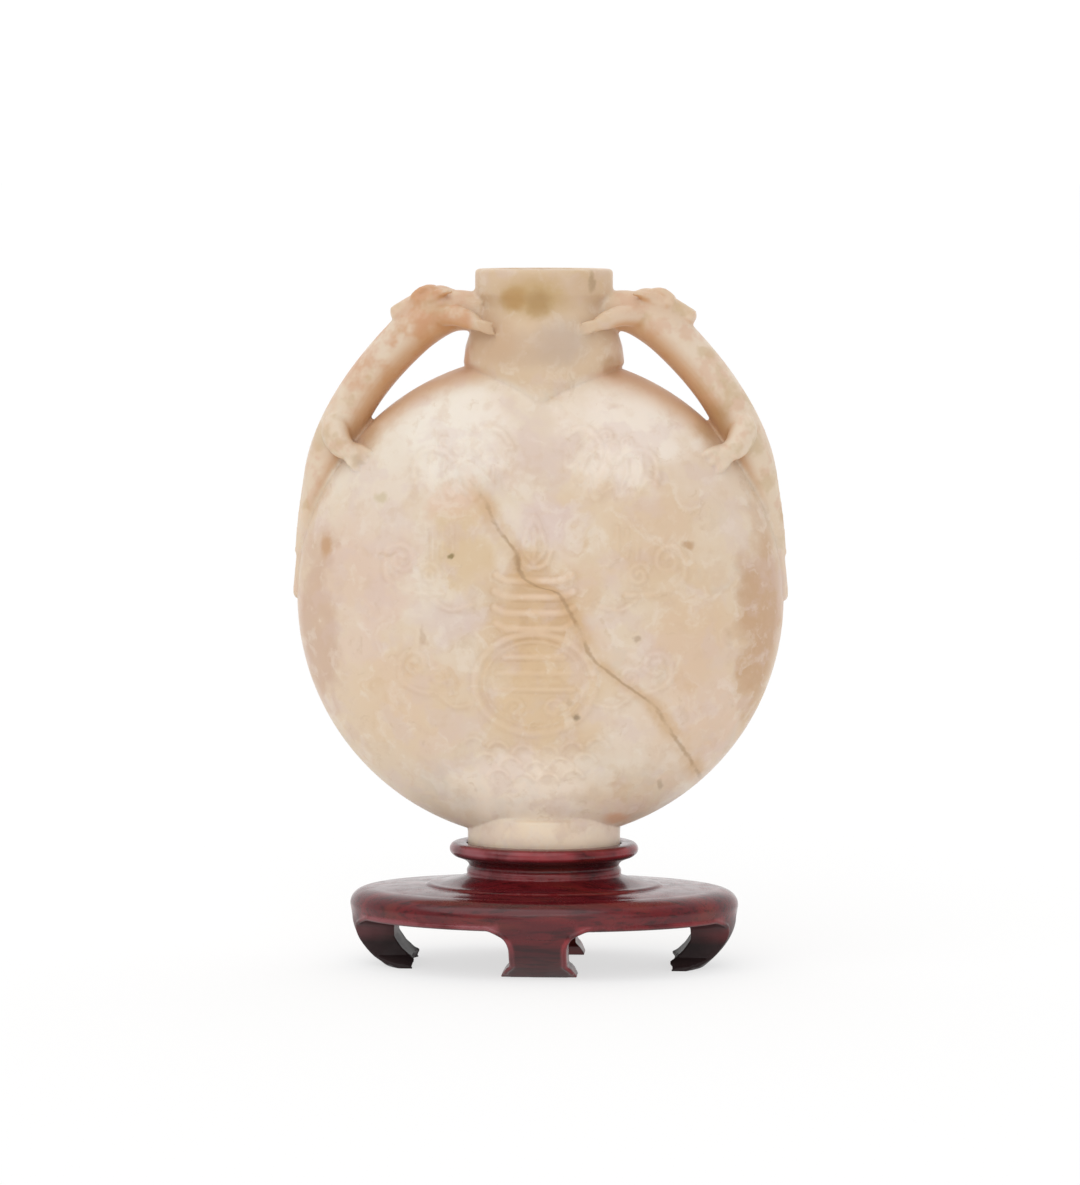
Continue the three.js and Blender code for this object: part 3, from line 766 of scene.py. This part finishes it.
def mark_stand(stand):
    """Marks where painted highlights go: the collar's lip, and the beads of waist and legs."""
    x, y, z = read_points(stand).T
    x = x - axis_offset
    heights = np.linspace(0, leg_height, 60)
    side = np.interp(z, heights, [leg_side(height) for height in heights])
    inset = np.interp(z, heights, [skirt_inset(height) for height in heights])
    reach = np.hypot(x / (table_half_width - inset), y / (table_half_depth - inset))
    on_front = np.abs(y) * table_half_width > np.abs(x) * table_half_depth
    from_middle = np.where(on_front, np.abs(x), np.abs(y))
    beside = (1 - soft_step(np.abs(from_middle - side + bead_radius), 0.6, 1.6)) * (1 - soft_step(z, 13, 15))
    above = (1 - soft_step(np.abs(z - leg_height - 0.6), 0.7, 1.7)) * soft_step(from_middle, 11, 15)
    outer = soft_step(reach, 0.93, 0.96)
    collar = np.hypot(x / foot_half_width, y / foot_half_depth)
    lip = (1 - soft_step(np.abs(z - collar_top + 2), 1, 2.2)) * soft_step(collar, 1.12, 1.2)
    waist = (1 - soft_step(np.abs(z - waist_z + 0.9), 0.7, 1.7)) * (1 - soft_step(collar, 1.3, 1.4))
    # The rubbed mask marks where painted highlights go
    write_mask(stand, "rubbed", np.maximum.reduce([beside * outer, above * outer, lip, waist * 0.8]))


def make_stand():
    """The stand: one turned and carved block, cut out below and between the legs, with its beads."""
    block = bmesh.new()
    loft(block, stand_frames(), 160)
    stand = mesh_object("rosewood_stand", block)
    inside = bmesh.new()
    foot_inner = foot_inset + leg_thickness
    stops = [(-1, foot_inner), (1, foot_inner), (3, foot_inner + toe_curl * 0.25), (6.5, apron_thickness + 2),
             (10, apron_thickness), (leg_height, apron_thickness), (leg_height + 4, apron_thickness + 1)]
    frames = [table_oval(z, inset) for z, inset in stops]
    loft(inside, frames, 96)
    half = Vector((table_half_width - foot_inner, table_half_depth - foot_inner))
    for vert in inside.verts:  # squarer than the table's oval, so that the feet keep their thickness
        centred = Vector((vert.co.x - axis_offset, vert.co.y))
        angle = np.arctan2(centred.y / half.y, centred.x / half.x)
        square = (abs(cos(angle)) ** 4 + abs(sin(angle)) ** 4) ** -0.25
        vert.co.x = axis_offset + centred.x * square
        vert.co.y = centred.y * square
    cut(stand, mesh_object("inside", inside))
    reach = table_half_width + 4
    heights = [-1, 0] + [leg_height * i / 40 for i in range(1, 41)]
    for along_x in (-1, 1):
        for along_y in (-1, 1):
            between = bmesh.new()
            frames = []
            for z in heights:
                near = leg_side(z)
                middle = (near + reach) / 2
                half = (reach - near) / 2 * sqrt(2)
                frames.append(Matrix.Translation((axis_offset + along_x * middle, along_y * middle, z))
                              @ Matrix.Rotation(pi / 4, 4, "Z") @ Matrix.Diagonal((half, half, 1, 1)))
            loft(between, frames, 4)
            cut(stand, mesh_object("between", between))
    recess_floor = collar_top - recess_depth
    recess = bmesh.new()
    loft(recess, [
        collar_oval(recess_floor, seat_clearance - 0.8),
        collar_oval(recess_floor + 0.8, seat_clearance),
        collar_oval(collar_top - 0.5, seat_clearance),
        collar_oval(collar_top + 0.5, seat_clearance + 1),
    ], 128)
    cut(stand, mesh_object("recess", recess))
    whole = bmesh.new()
    whole.from_mesh(stand.data)
    for along_x in (-1, 1):
        for along_y in (-1, 1):
            edge_bead(whole, along_x, along_y)
    bmesh.ops.recalc_face_normals(whole, faces=whole.faces)
    whole.to_mesh(stand.data)
    whole.free()
    one_skin(stand, stand_grain * coarse, 2)
    thinned(stand, stand_triangles)
    return stand


def linear(hex_colour):
    """A shader colour from an sRGB hex value."""
    parts = [int(hex_colour[i:i + 2], 16) / 255 for i in (1, 3, 5)]
    return (*[part / 12.92 if part <= 0.04045 else ((part + 0.055) / 1.055) ** 2.4 for part in parts], 1)


def add(tree, kind, inputs=None, **settings):
    """Adds a node with its settings; each input is a value or the output of another node."""
    made = tree.nodes.new(kind)
    for name, value in settings.items():
        setattr(made, name, value)
    for key, value in (inputs or {}).items():
        if isinstance(value, bpy.types.NodeSocket):
            tree.links.new(value, made.inputs[key])
        else:
            made.inputs[key].default_value = value
    return made


def new_material(name):
    """An empty material, its shader and its coordinates in millimetres."""
    material = bpy.data.materials.new(name)
    material.use_nodes = True
    tree = material.node_tree
    tree.nodes.clear()
    shader = add(tree, "ShaderNodeBsdfPrincipled")
    add(tree, "ShaderNodeOutputMaterial", {"Surface": shader.outputs[0]})
    coordinates = add(tree, "ShaderNodeTexCoord").outputs["Object"]
    place = add(tree, "ShaderNodeMapping", {"Vector": coordinates, "Scale": (1 / MM,) * 3}).outputs[0]
    return material, tree, shader, place


def cloudiness(tree, place, size, low, high, seed, detail=3.0, stretch=(1, 1, 1)):
    """A soft patchy mask, from 0 to 1, with patches of about one size in millimetres."""
    laid = add(tree, "ShaderNodeMapping", {"Vector": place, "Scale": stretch}).outputs[0]
    noise = add(tree, "ShaderNodeTexNoise", {"Vector": laid, "W": seed, "Scale": 1 / size, "Detail": detail,
                                             "Roughness": 0.55}, noise_dimensions="4D").outputs[0]
    return add(tree, "ShaderNodeMapRange", {"Value": noise, "From Min": low, "From Max": high},
               interpolation_type="SMOOTHSTEP").outputs[0]


def spot(tree, place, u, w, half_width, half_height):
    """A soft round mask on the front, at a place across and up from the disc's centre."""
    moved = add(tree, "ShaderNodeMapping", {
        "Vector": place,
        "Location": (-u / half_width, 0, -(disc_z + w) / half_height),
        "Scale": (1 / half_width, 0, 1 / half_height),
    }).outputs[0]
    distance = add(tree, "ShaderNodeVectorMath", {0: moved}, operation="LENGTH").outputs["Value"]
    return add(tree, "ShaderNodeMapRange", {"Value": distance, "From Min": 1.2, "From Max": 0.35},
               interpolation_type="SMOOTHSTEP").outputs[0]


def wavering(tree, place, scale, reach, detail):
    """The coordinates moved about by a noise, so that placed patches get natural edges."""
    noise = add(tree, "ShaderNodeTexNoise", {"Vector": place, "Scale": scale,
                                             "Detail": detail}).outputs["Color"]
    offset = add(tree, "ShaderNodeVectorMath", {0: noise, 1: (0.5,) * 3}, operation="SUBTRACT").outputs[0]
    return add(tree, "ShaderNodeVectorMath", {0: offset, 1: (reach,) * 3, 2: place},
               operation="MULTIPLY_ADD").outputs[0]


def painted(tree, colour, layers):
    """Lays soft patches over a colour: each is a hex colour, its strength, and the masks that limit it."""
    for hex_colour, weight, *masks in layers:
        for mask in masks:
            weight = add(tree, "ShaderNodeMath", {0: mask, 1: weight}, operation="MULTIPLY").outputs[0]
        colour = add(tree, "ShaderNodeMix", {0: weight, 6: colour, 7: linear(hex_colour)},
                     data_type="RGBA").outputs[2]
    return colour


def polished_marble():
    """Cream calcite marble, carved and rubbed to a soft polish: warm cloudy patches under a faint waxy sheen,
    painted light and shade on the front, the neck and the carving, ochre soaked into the hollows with painted
    shade over it, and brown iron along its old crack."""
    material, tree, shader, place = new_material("polished_cream_marble")
    split = add(tree, "ShaderNodeSeparateXYZ", {0: place})
    across, depth, height = split.outputs
    front = add(tree, "ShaderNodeMapRange", {"Value": depth, "From Min": -2, "From Max": -9}).outputs[0]
    warped = wavering(tree, place, 0.11, 22, 4)
    ruffled = wavering(tree, place, 0.3, 3, 3)

    # Patches all over the stone: colour, size in millimetres, the range of noise that shows it, and strength
    patches = [
        ("#E9DCCB", 48, 0.47, 0.62, 0.7),
        ("#D9BB96", 36, 0.50, 0.64, 0.55),
        ("#DFC4B4", 30, 0.50, 0.62, 0.6),
        ("#D2C4B4", 21, 0.53, 0.66, 0.45),
        ("#CFAA7C", 15, 0.57, 0.72, 0.55),
    ]
    layers = []
    for seed, (hex_colour, size, low, high, strength) in enumerate(patches):
        layers.append((hex_colour, strength, cloudiness(tree, warped, size, low, high, seed * 3.7 + 1)))

    # Broad patches of the front, marble tone and some painted light and shade: across, up, half-width,
    # half-height, colour and strength
    broad = [
        # Painted light: the two shoulder lobes, which face upwards, lighter
        (-29, 55, 27, 22, "#F0E7DA", 0.85),
        (29, 55, 27, 20, "#F0E2D4", 0.85),
        (1, 50, 12, 16, "#DBC8B6", 0.6),
        # Painted light and shade: the upper left lighter and the upper right darker, as lit from the left
        (-52, 38, 20, 24, "#E6D8C6", 0.7),
        (55, 40, 16, 18, "#DCC5B0", 0.6),
        (-57, 12, 22, 22, "#DEC3AE", 0.6),
        (-25, 32, 11, 9, "#E3C2AA", 0.75),
        (-22, 16, 12, 17, "#D8BB93", 0.8),
        (4, 27, 13, 10, "#DCC5BD", 0.7),
        (-28, -4, 12, 9, "#D9C3B8", 0.65),
        (0, -2, 21, 23, "#D5B288", 0.85),
        (3, -30, 27, 23, "#DBBC94", 0.75),
        (-46, -32, 27, 24, "#DFC4A4", 0.65),
        (42, 24, 19, 20, "#D9BD9B", 0.7),
        (27, -2, 11, 13, "#E0CDB5", 0.75),
        (50, -12, 14, 20, "#DBBD9C", 0.65),
        (36, -38, 20, 14, "#E4D0BC", 0.7),
        # Painted light from below: the lower middle and the bottom lighter
        (-3, -58, 28, 13, "#F4E2CE", 0.9),
        (0, -80, 34, 10, "#F2DDC2", 0.75),
        # Ochre and painted shade: both edges, where the disc turns away, darker, the right one more
        (-72, -8, 9, 44, "#C9A78E", 0.7),
        (73, -8, 10, 50, "#C39B76", 0.8),
        (48, -42, 16, 22, "#DCBC9C", 0.5),
    ]
    for u, w, half_width, half_height, hex_colour, strength in broad:
        layers.append((hex_colour, strength, spot(tree, warped, u, w, half_width, half_height), front))

    # Fine mottling, and the regions that the mesh marks
    neck, handle, ochre_and_shade_by_handles, left, dirt_and_crevice_shade, crest_highlight = [
        add(tree, "ShaderNodeAttribute", attribute_name=name).outputs["Fac"]
        for name in ("neck", "handle", "ochre_and_shade_by_handles", "left", "dirt_and_crevice_shade", "crest_highlight")]
    shoulders = add(tree, "ShaderNodeMapRange", {"Value": height, "From Min": disc_z + 60,
                                                 "From Max": disc_z + 82, "To Min": 0.25}).outputs[0]
    heads = add(tree, "ShaderNodeMapRange", {"Value": height, "From Min": disc_z + 86,
                                             "From Max": disc_z + 96}).outputs[0]
    layers += [
        # Painted shade: the upright neck and its tongue on the disc darker tan
        ("#D5B998", 0.85, neck),
        ("#EBDFD1", 0.35, cloudiness(tree, warped, 8, 0.5, 0.66, 24)),
        ("#D8C0B8", 0.3, cloudiness(tree, ruffled, 10, 0.5, 0.62, 29)),
        ("#D3B598", 0.3, cloudiness(tree, ruffled, 6, 0.52, 0.68, 33)),
        ("#C7A985", 0.3, cloudiness(tree, warped, 5, 0.58, 0.74, 27)),
        ("#E0CCB4", 0.75, handle),
        ("#CFA277", 0.4, heads, handle),
        ("#D3A88B", 0.45, cloudiness(tree, place, 8, 0.5, 0.62, 91), handle),
        ("#C4A87C", 0.45, cloudiness(tree, place, 9, 0.52, 0.64, 96), handle),
        ("#C98D5E", 0.7, cloudiness(tree, place, 11, 0.42, 0.6, 81), left, handle, shoulders),
        # Ochre and painted shade on the handles' inner sides and under them
        ("#CA9664", 0.75, ochre_and_shade_by_handles),
        # Dirt and painted shade at the foot of the carving
        ("#B98F62", 0.45, cloudiness(tree, place, 6, 0.38, 0.58, 61), dirt_and_crevice_shade),
        # Painted highlight: the crests of the carving lighter
        ("#EBCFB6", 0.62, crest_highlight),
    ]

    # Stains and spots, in the same way as the broad patches
    spots = [
        (-1, 98.5, 14, 8, "#C3A16E", 0.8),
        (-7.6, 98, 5.4, 4.4, "#B68A4C", 0.7),
        (0.6, 96.4, 5, 5.6, "#AD8750", 0.65),
        (16, 102, 6, 6, "#CBAA80", 0.5),
        (17.4, 103.2, 1.4, 4.2, "#A88A68", 0.6),
        (8, 84, 10, 9, "#C4AE9A", 0.75),
        (-2, 82, 17, 7, "#C4A88E", 0.5),
        (-14, 84, 9, 10, "#CBA988", 0.7),
        (-25, 76, 4, 3, "#B98460", 0.6),
        (24, 76, 4, 4, "#B58A62", 0.6),
        (57, 58, 6, 8, "#A97C45", 0.7),
        (-57, 54, 6, 6, "#B98C5C", 0.6),
        (25.5, -71, 5, 2.6, "#D7A076", 0.6),
        (-27, 15.7, 1.3, 0.9, "#84713F", 0.8),
        (49.4, 19.5, 2.4, 1.7, "#B3875C", 0.6),
        (-68.5, 18.2, 2.4, 4.4, "#C3966C", 0.75),
        (13.7, -35.9, 1.5, 1.4, "#8A745A", 0.75),
        (11.4, -31, 1.3, 1.2, "#A88C6A", 0.25),
        (-36.3, -10, 1.2, 4, "#B9987A", 0.4),
        (32.9, -10.8, 1.3, 1.3, "#A3846A", 0.5),
        (39.9, -59.4, 1.1, 2, "#A98F72", 0.5),
        (-58.5, 46, 2.6, 2.2, "#A07E4A", 0.3),
        (-50, 34, 2.4, 2, "#C9B792", 0.6),
        (-5.2, 14, 1.6, 4.4, "#9A7A55", 0.5),
    ]
    for u, w, half_width, half_height, hex_colour, strength in spots:
        layers.append((hex_colour, strength, spot(tree, ruffled, u, w, half_width, half_height), front))

    # The crack: a curve gives how far across it is at each height, and its distance makes halo and line
    crack_low, crack_high = crack_line[0][1], crack_line[-1][1]
    crack_left, crack_right = crack_line[-1][0] - 5, crack_line[0][0] + 5
    crack_jitter = 1.6
    share = add(tree, "ShaderNodeMapRange", {"Value": height, "From Min": disc_z + crack_low,
                                             "From Max": disc_z + crack_high}).outputs[0]
    bent = add(tree, "ShaderNodeFloatCurve", {"Value": share})
    curve = bent.mapping.curves[0]
    stops = [((w - crack_low) / (crack_high - crack_low), (u - crack_left) / (crack_right - crack_left))
             for u, w in crack_line]
    curve.points[0].location = stops[0]
    curve.points[1].location = stops[-1]
    for stop in stops[1:-1]:
        curve.points.new(*stop)
    bent.mapping.update()
    crack_u = add(tree, "ShaderNodeMapRange", {"Value": bent.outputs[0], "To Min": crack_left,
                                               "To Max": crack_right}).outputs[0]
    jitter = add(tree, "ShaderNodeTexNoise", {"Vector": place, "Scale": 0.55, "Detail": 2}).outputs[0]
    shifted = add(tree, "ShaderNodeMath", {0: jitter, 1: crack_jitter, 2: crack_u},
                  operation="MULTIPLY_ADD").outputs[0]
    gap = add(tree, "ShaderNodeMath", {0: across, 1: shifted}, operation="SUBTRACT").outputs[0]
    gap = add(tree, "ShaderNodeMath", {0: gap, 1: crack_jitter / 2}, operation="ADD").outputs[0]
    gap = add(tree, "ShaderNodeMath", {0: gap}, operation="ABSOLUTE").outputs[0]
    ends = add(tree, "ShaderNodeMapRange", {"Value": height, "From Min": disc_z + crack_high + 2,
                                            "From Max": disc_z + crack_high - 6}).outputs[0]
    # Colour, half-width in millimetres, strength, and the size and seed of its breaks
    halo = ("#CBA26E", 5.5, 0.5, 12, 40)
    line = ("#A07C55", 1.2, 0.52, 7, 50)
    for hex_colour, width, strength, size, seed in (halo, line):
        band = add(tree, "ShaderNodeMapRange", {"Value": gap, "From Min": width, "From Max": width * 0.15},
                   interpolation_type="SMOOTHSTEP").outputs[0]
        broken = cloudiness(tree, place, size, 0.3, 0.55, seed)
        layers.append((hex_colour, strength, band, broken, ends, front))

    tree.links.new(painted(tree, linear("#DFCBB3"), layers), shader.inputs["Base Color"])
    polish = cloudiness(tree, place, 14, 0.35, 0.65, 71)
    roughness = add(tree, "ShaderNodeMapRange", {"Value": polish, "To Min": 0.34, "To Max": 0.5}).outputs[0]
    tree.links.new(roughness, shader.inputs["Roughness"])
    shader.inputs["IOR"].default_value = 1.49
    shader.inputs["Subsurface Weight"].default_value = 0.12
    shader.inputs["Subsurface Radius"].default_value = (1, 0.7, 0.45)
    shader.inputs["Subsurface Scale"].default_value = 0.004
    grit_size = 0.9  # coarser than real grit, so that it shows
    tool_mark = 7
    grit = add(tree, "ShaderNodeTexNoise", {"Vector": place, "Scale": 1 / grit_size, "Detail": 4}).outputs[0]
    tooled = add(tree, "ShaderNodeTexNoise", {"Vector": place, "Scale": 1 / tool_mark,
                                              "Detail": 2}).outputs[0]
    fine = add(tree, "ShaderNodeBump", {"Height": grit, "Strength": 0.12, "Distance": 0.00012}).outputs[0]
    bump = add(tree, "ShaderNodeBump", {"Height": tooled, "Strength": 0.3, "Distance": 0.0004,
                                        "Normal": fine}).outputs[0]
    tree.links.new(bump, shader.inputs["Normal"])
    return material


def waxed_rosewood():
    """Rosewood stained dark red and waxed: fine long grain, a deep gloss, painted highlights on its lip and
    beads, nearly black low on its legs, partly stain and partly painted shadow, and painted shade on faces
    that look down."""
    material, tree, shader, place = new_material("waxed_red_rosewood")
    split = add(tree, "ShaderNodeSeparateXYZ", {0: place})
    # Nearly black low on the legs, most on the side legs: partly stain, partly painted shadow
    low = add(tree, "ShaderNodeMapRange", {"Value": split.outputs[2], "From Min": leg_height + 3,
                                           "From Max": leg_height - 8}).outputs[0]
    from_middle = add(tree, "ShaderNodeMath", {0: split.outputs[0]}, operation="ABSOLUTE").outputs[0]
    aside = add(tree, "ShaderNodeMapRange", {"Value": from_middle, "From Min": 12, "From Max": 40,
                                             "To Min": 0.3}).outputs[0]
    low = add(tree, "ShaderNodeMath", {0: low, 1: aside}, operation="MULTIPLY").outputs[0]
    # Painted shade on faces that look down
    normal = add(tree, "ShaderNodeNewGeometry").outputs["Normal"]
    upward = add(tree, "ShaderNodeSeparateXYZ", {0: normal}).outputs[2]
    under = add(tree, "ShaderNodeMapRange", {"Value": upward, "From Min": -0.25, "From Max": -0.9}).outputs[0]
    # Where the painted highlights go on the lip and beads
    rubbed = add(tree, "ShaderNodeAttribute", attribute_name="rubbed").outputs["Fac"]
    uneven = cloudiness(tree, place, 12, 0.3, 0.62, 38)
    # The left side, where the painted reflection on the lip and beads turns grey
    left_grey_reflection = add(tree, "ShaderNodeMapRange", {"Value": split.outputs[0], "From Min": -2,
                                            "From Max": -14}).outputs[0]
    streak = (0.12, 1, 1)
    layers = [
        ("#74191D", 0.6, cloudiness(tree, place, 6, 0.46, 0.62, 3, 4, streak)),
        ("#2A0508", 0.6, cloudiness(tree, place, 1.6, 0.5, 0.64, 8, 4, streak)),
        ("#7C3423", 0.4, cloudiness(tree, place, 11, 0.52, 0.68, 14, 3, (0.25, 1, 1))),
        ("#180304", 0.5, cloudiness(tree, place, 0.7, 0.58, 0.68, 21, 2, (0.08, 1, 1))),
        # Painted highlights: the lip and beads brighter red
        ("#A03238", 0.8, rubbed, uneven),
        # Painted reflection: grey-lilac on the left of the lip and beads
        ("#8C5A60", 0.6, rubbed, uneven, left_grey_reflection),
        # Partly stain, partly painted shadow: the legs nearly black low down
        ("#120506", 0.96, low),
        # Painted shade: faces that look down darker
        ("#120405", 0.7, under),
    ]
    tree.links.new(painted(tree, linear("#59131A"), layers), shader.inputs["Base Color"])
    wear = cloudiness(tree, place, 5, 0.35, 0.65, 31)
    roughness = add(tree, "ShaderNodeMapRange", {"Value": wear, "To Min": 0.16, "To Max": 0.28}).outputs[0]
    roughness = add(tree, "ShaderNodeMath", {0: low, 1: 0.65, 2: roughness},
                    operation="MULTIPLY_ADD").outputs[0]
    tree.links.new(roughness, shader.inputs["Roughness"])
    shader.inputs["IOR"].default_value = 1.42
    shader.inputs["Coat Weight"].default_value = 0.2
    shader.inputs["Coat Roughness"].default_value = 0.08
    pore_width = 0.5
    pores = add(tree, "ShaderNodeMapping", {"Vector": place, "Scale": (0.06, 1, 1)}).outputs[0]
    grain = add(tree, "ShaderNodeTexNoise", {"Vector": pores, "Scale": 1 / pore_width,
                                             "Detail": 3}).outputs[0]
    bump = add(tree, "ShaderNodeBump", {"Height": grain, "Strength": 0.25, "Distance": 0.00012}).outputs[0]
    tree.links.new(bump, shader.inputs["Normal"])
    return material


def studio():
    """A white table lit softly from below, a white surround brighter behind, and two broad soft lights."""
    bm = bmesh.new()
    bmesh.ops.create_grid(bm, x_segments=1, y_segments=1, size=30)
    floor = mesh_object("floor", bm)
    # Matt and without reflections, so that it fades into the surround and keeps only soft shadows
    material = bpy.data.materials.new("lit_white_acrylic")
    material.use_nodes = True
    acrylic = material.node_tree.nodes["Principled BSDF"]
    acrylic.inputs["Base Color"].default_value = linear("#9C9C9C")
    acrylic.inputs["Roughness"].default_value = 1
    acrylic.inputs["Specular IOR Level"].default_value = 0
    acrylic.inputs["Emission Color"].default_value = (1, 1, 1, 1)
    acrylic.inputs["Emission Strength"].default_value = 0.655
    floor.data.materials.append(material)

    world = bpy.data.worlds.new("white surround")
    bpy.context.scene.world = world
    world.use_nodes = True
    tree = world.node_tree
    tree.nodes.clear()
    way = add(tree, "ShaderNodeTexCoord").outputs["Generated"]
    behind = add(tree, "ShaderNodeSeparateXYZ", {0: way}).outputs[1]
    glow = add(tree, "ShaderNodeMapRange", {"Value": behind, "From Min": -0.6, "From Max": 0.5,
                                            "To Min": 0.42, "To Max": 1.1}).outputs[0]
    seen = add(tree, "ShaderNodeLightPath").outputs["Is Camera Ray"]
    strength = add(tree, "ShaderNodeMath", {0: glow, 1: seen}, operation="MAXIMUM").outputs[0]
    back = add(tree, "ShaderNodeBackground", {"Color": (1, 1, 1, 1), "Strength": strength})
    add(tree, "ShaderNodeOutputWorld", {"Surface": back.outputs[0]})

    # Name, azimuth and elevation in degrees, strength, and spread in degrees
    key = ("key", -24, 54, 0.92, 60)
    fill = ("fill", 10, 20, 0.36, 50)
    for name, azimuth, elevation, strength, spread in (key, fill):
        light = bpy.data.lights.new(name, "SUN")
        light.energy = strength
        light.angle = radians(spread)
        lamp = bpy.data.objects.new(name, light)
        towards = Vector((sin(radians(azimuth)) * cos(radians(elevation)),
                          -cos(radians(azimuth)) * cos(radians(elevation)), sin(radians(elevation))))
        lamp.rotation_euler = towards.to_track_quat("Z", "Y").to_euler()
        bpy.context.collection.objects.link(lamp)
    bpy.context.scene.view_settings.view_transform = "Standard"


def camera():
    """The photograph's view: from a little above the mouth, and a little to the right."""
    image_height = 1185
    focal_pixels = 5072
    distance, height, azimuth = 1.65, 0.27, radians(3.5)
    aim = Vector((0, 0, 0.1226))
    data = bpy.data.cameras.new("camera")
    data.sensor_width = 36
    data.lens = focal_pixels / image_height * data.sensor_width
    eye = bpy.data.objects.new("camera", data)
    eye.location = (distance * sin(azimuth), -distance * cos(azimuth), height)
    eye.rotation_euler = (aim - eye.location).to_track_quat("-Z", "Y").to_euler()
    bpy.context.collection.objects.link(eye)
    bpy.context.scene.camera = eye


camera()
studio()

flask = make_flask()
mark_flask(flask)
finished(flask, flask_low, flask_high)
flask.data.materials.append(polished_marble())
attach(flask, "root")
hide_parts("flask")

stand = make_stand()
mark_stand(stand)
finished(stand, stand_low, stand_high)
stand.data.materials.append(waxed_rosewood())
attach(stand, "root")
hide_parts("stand")
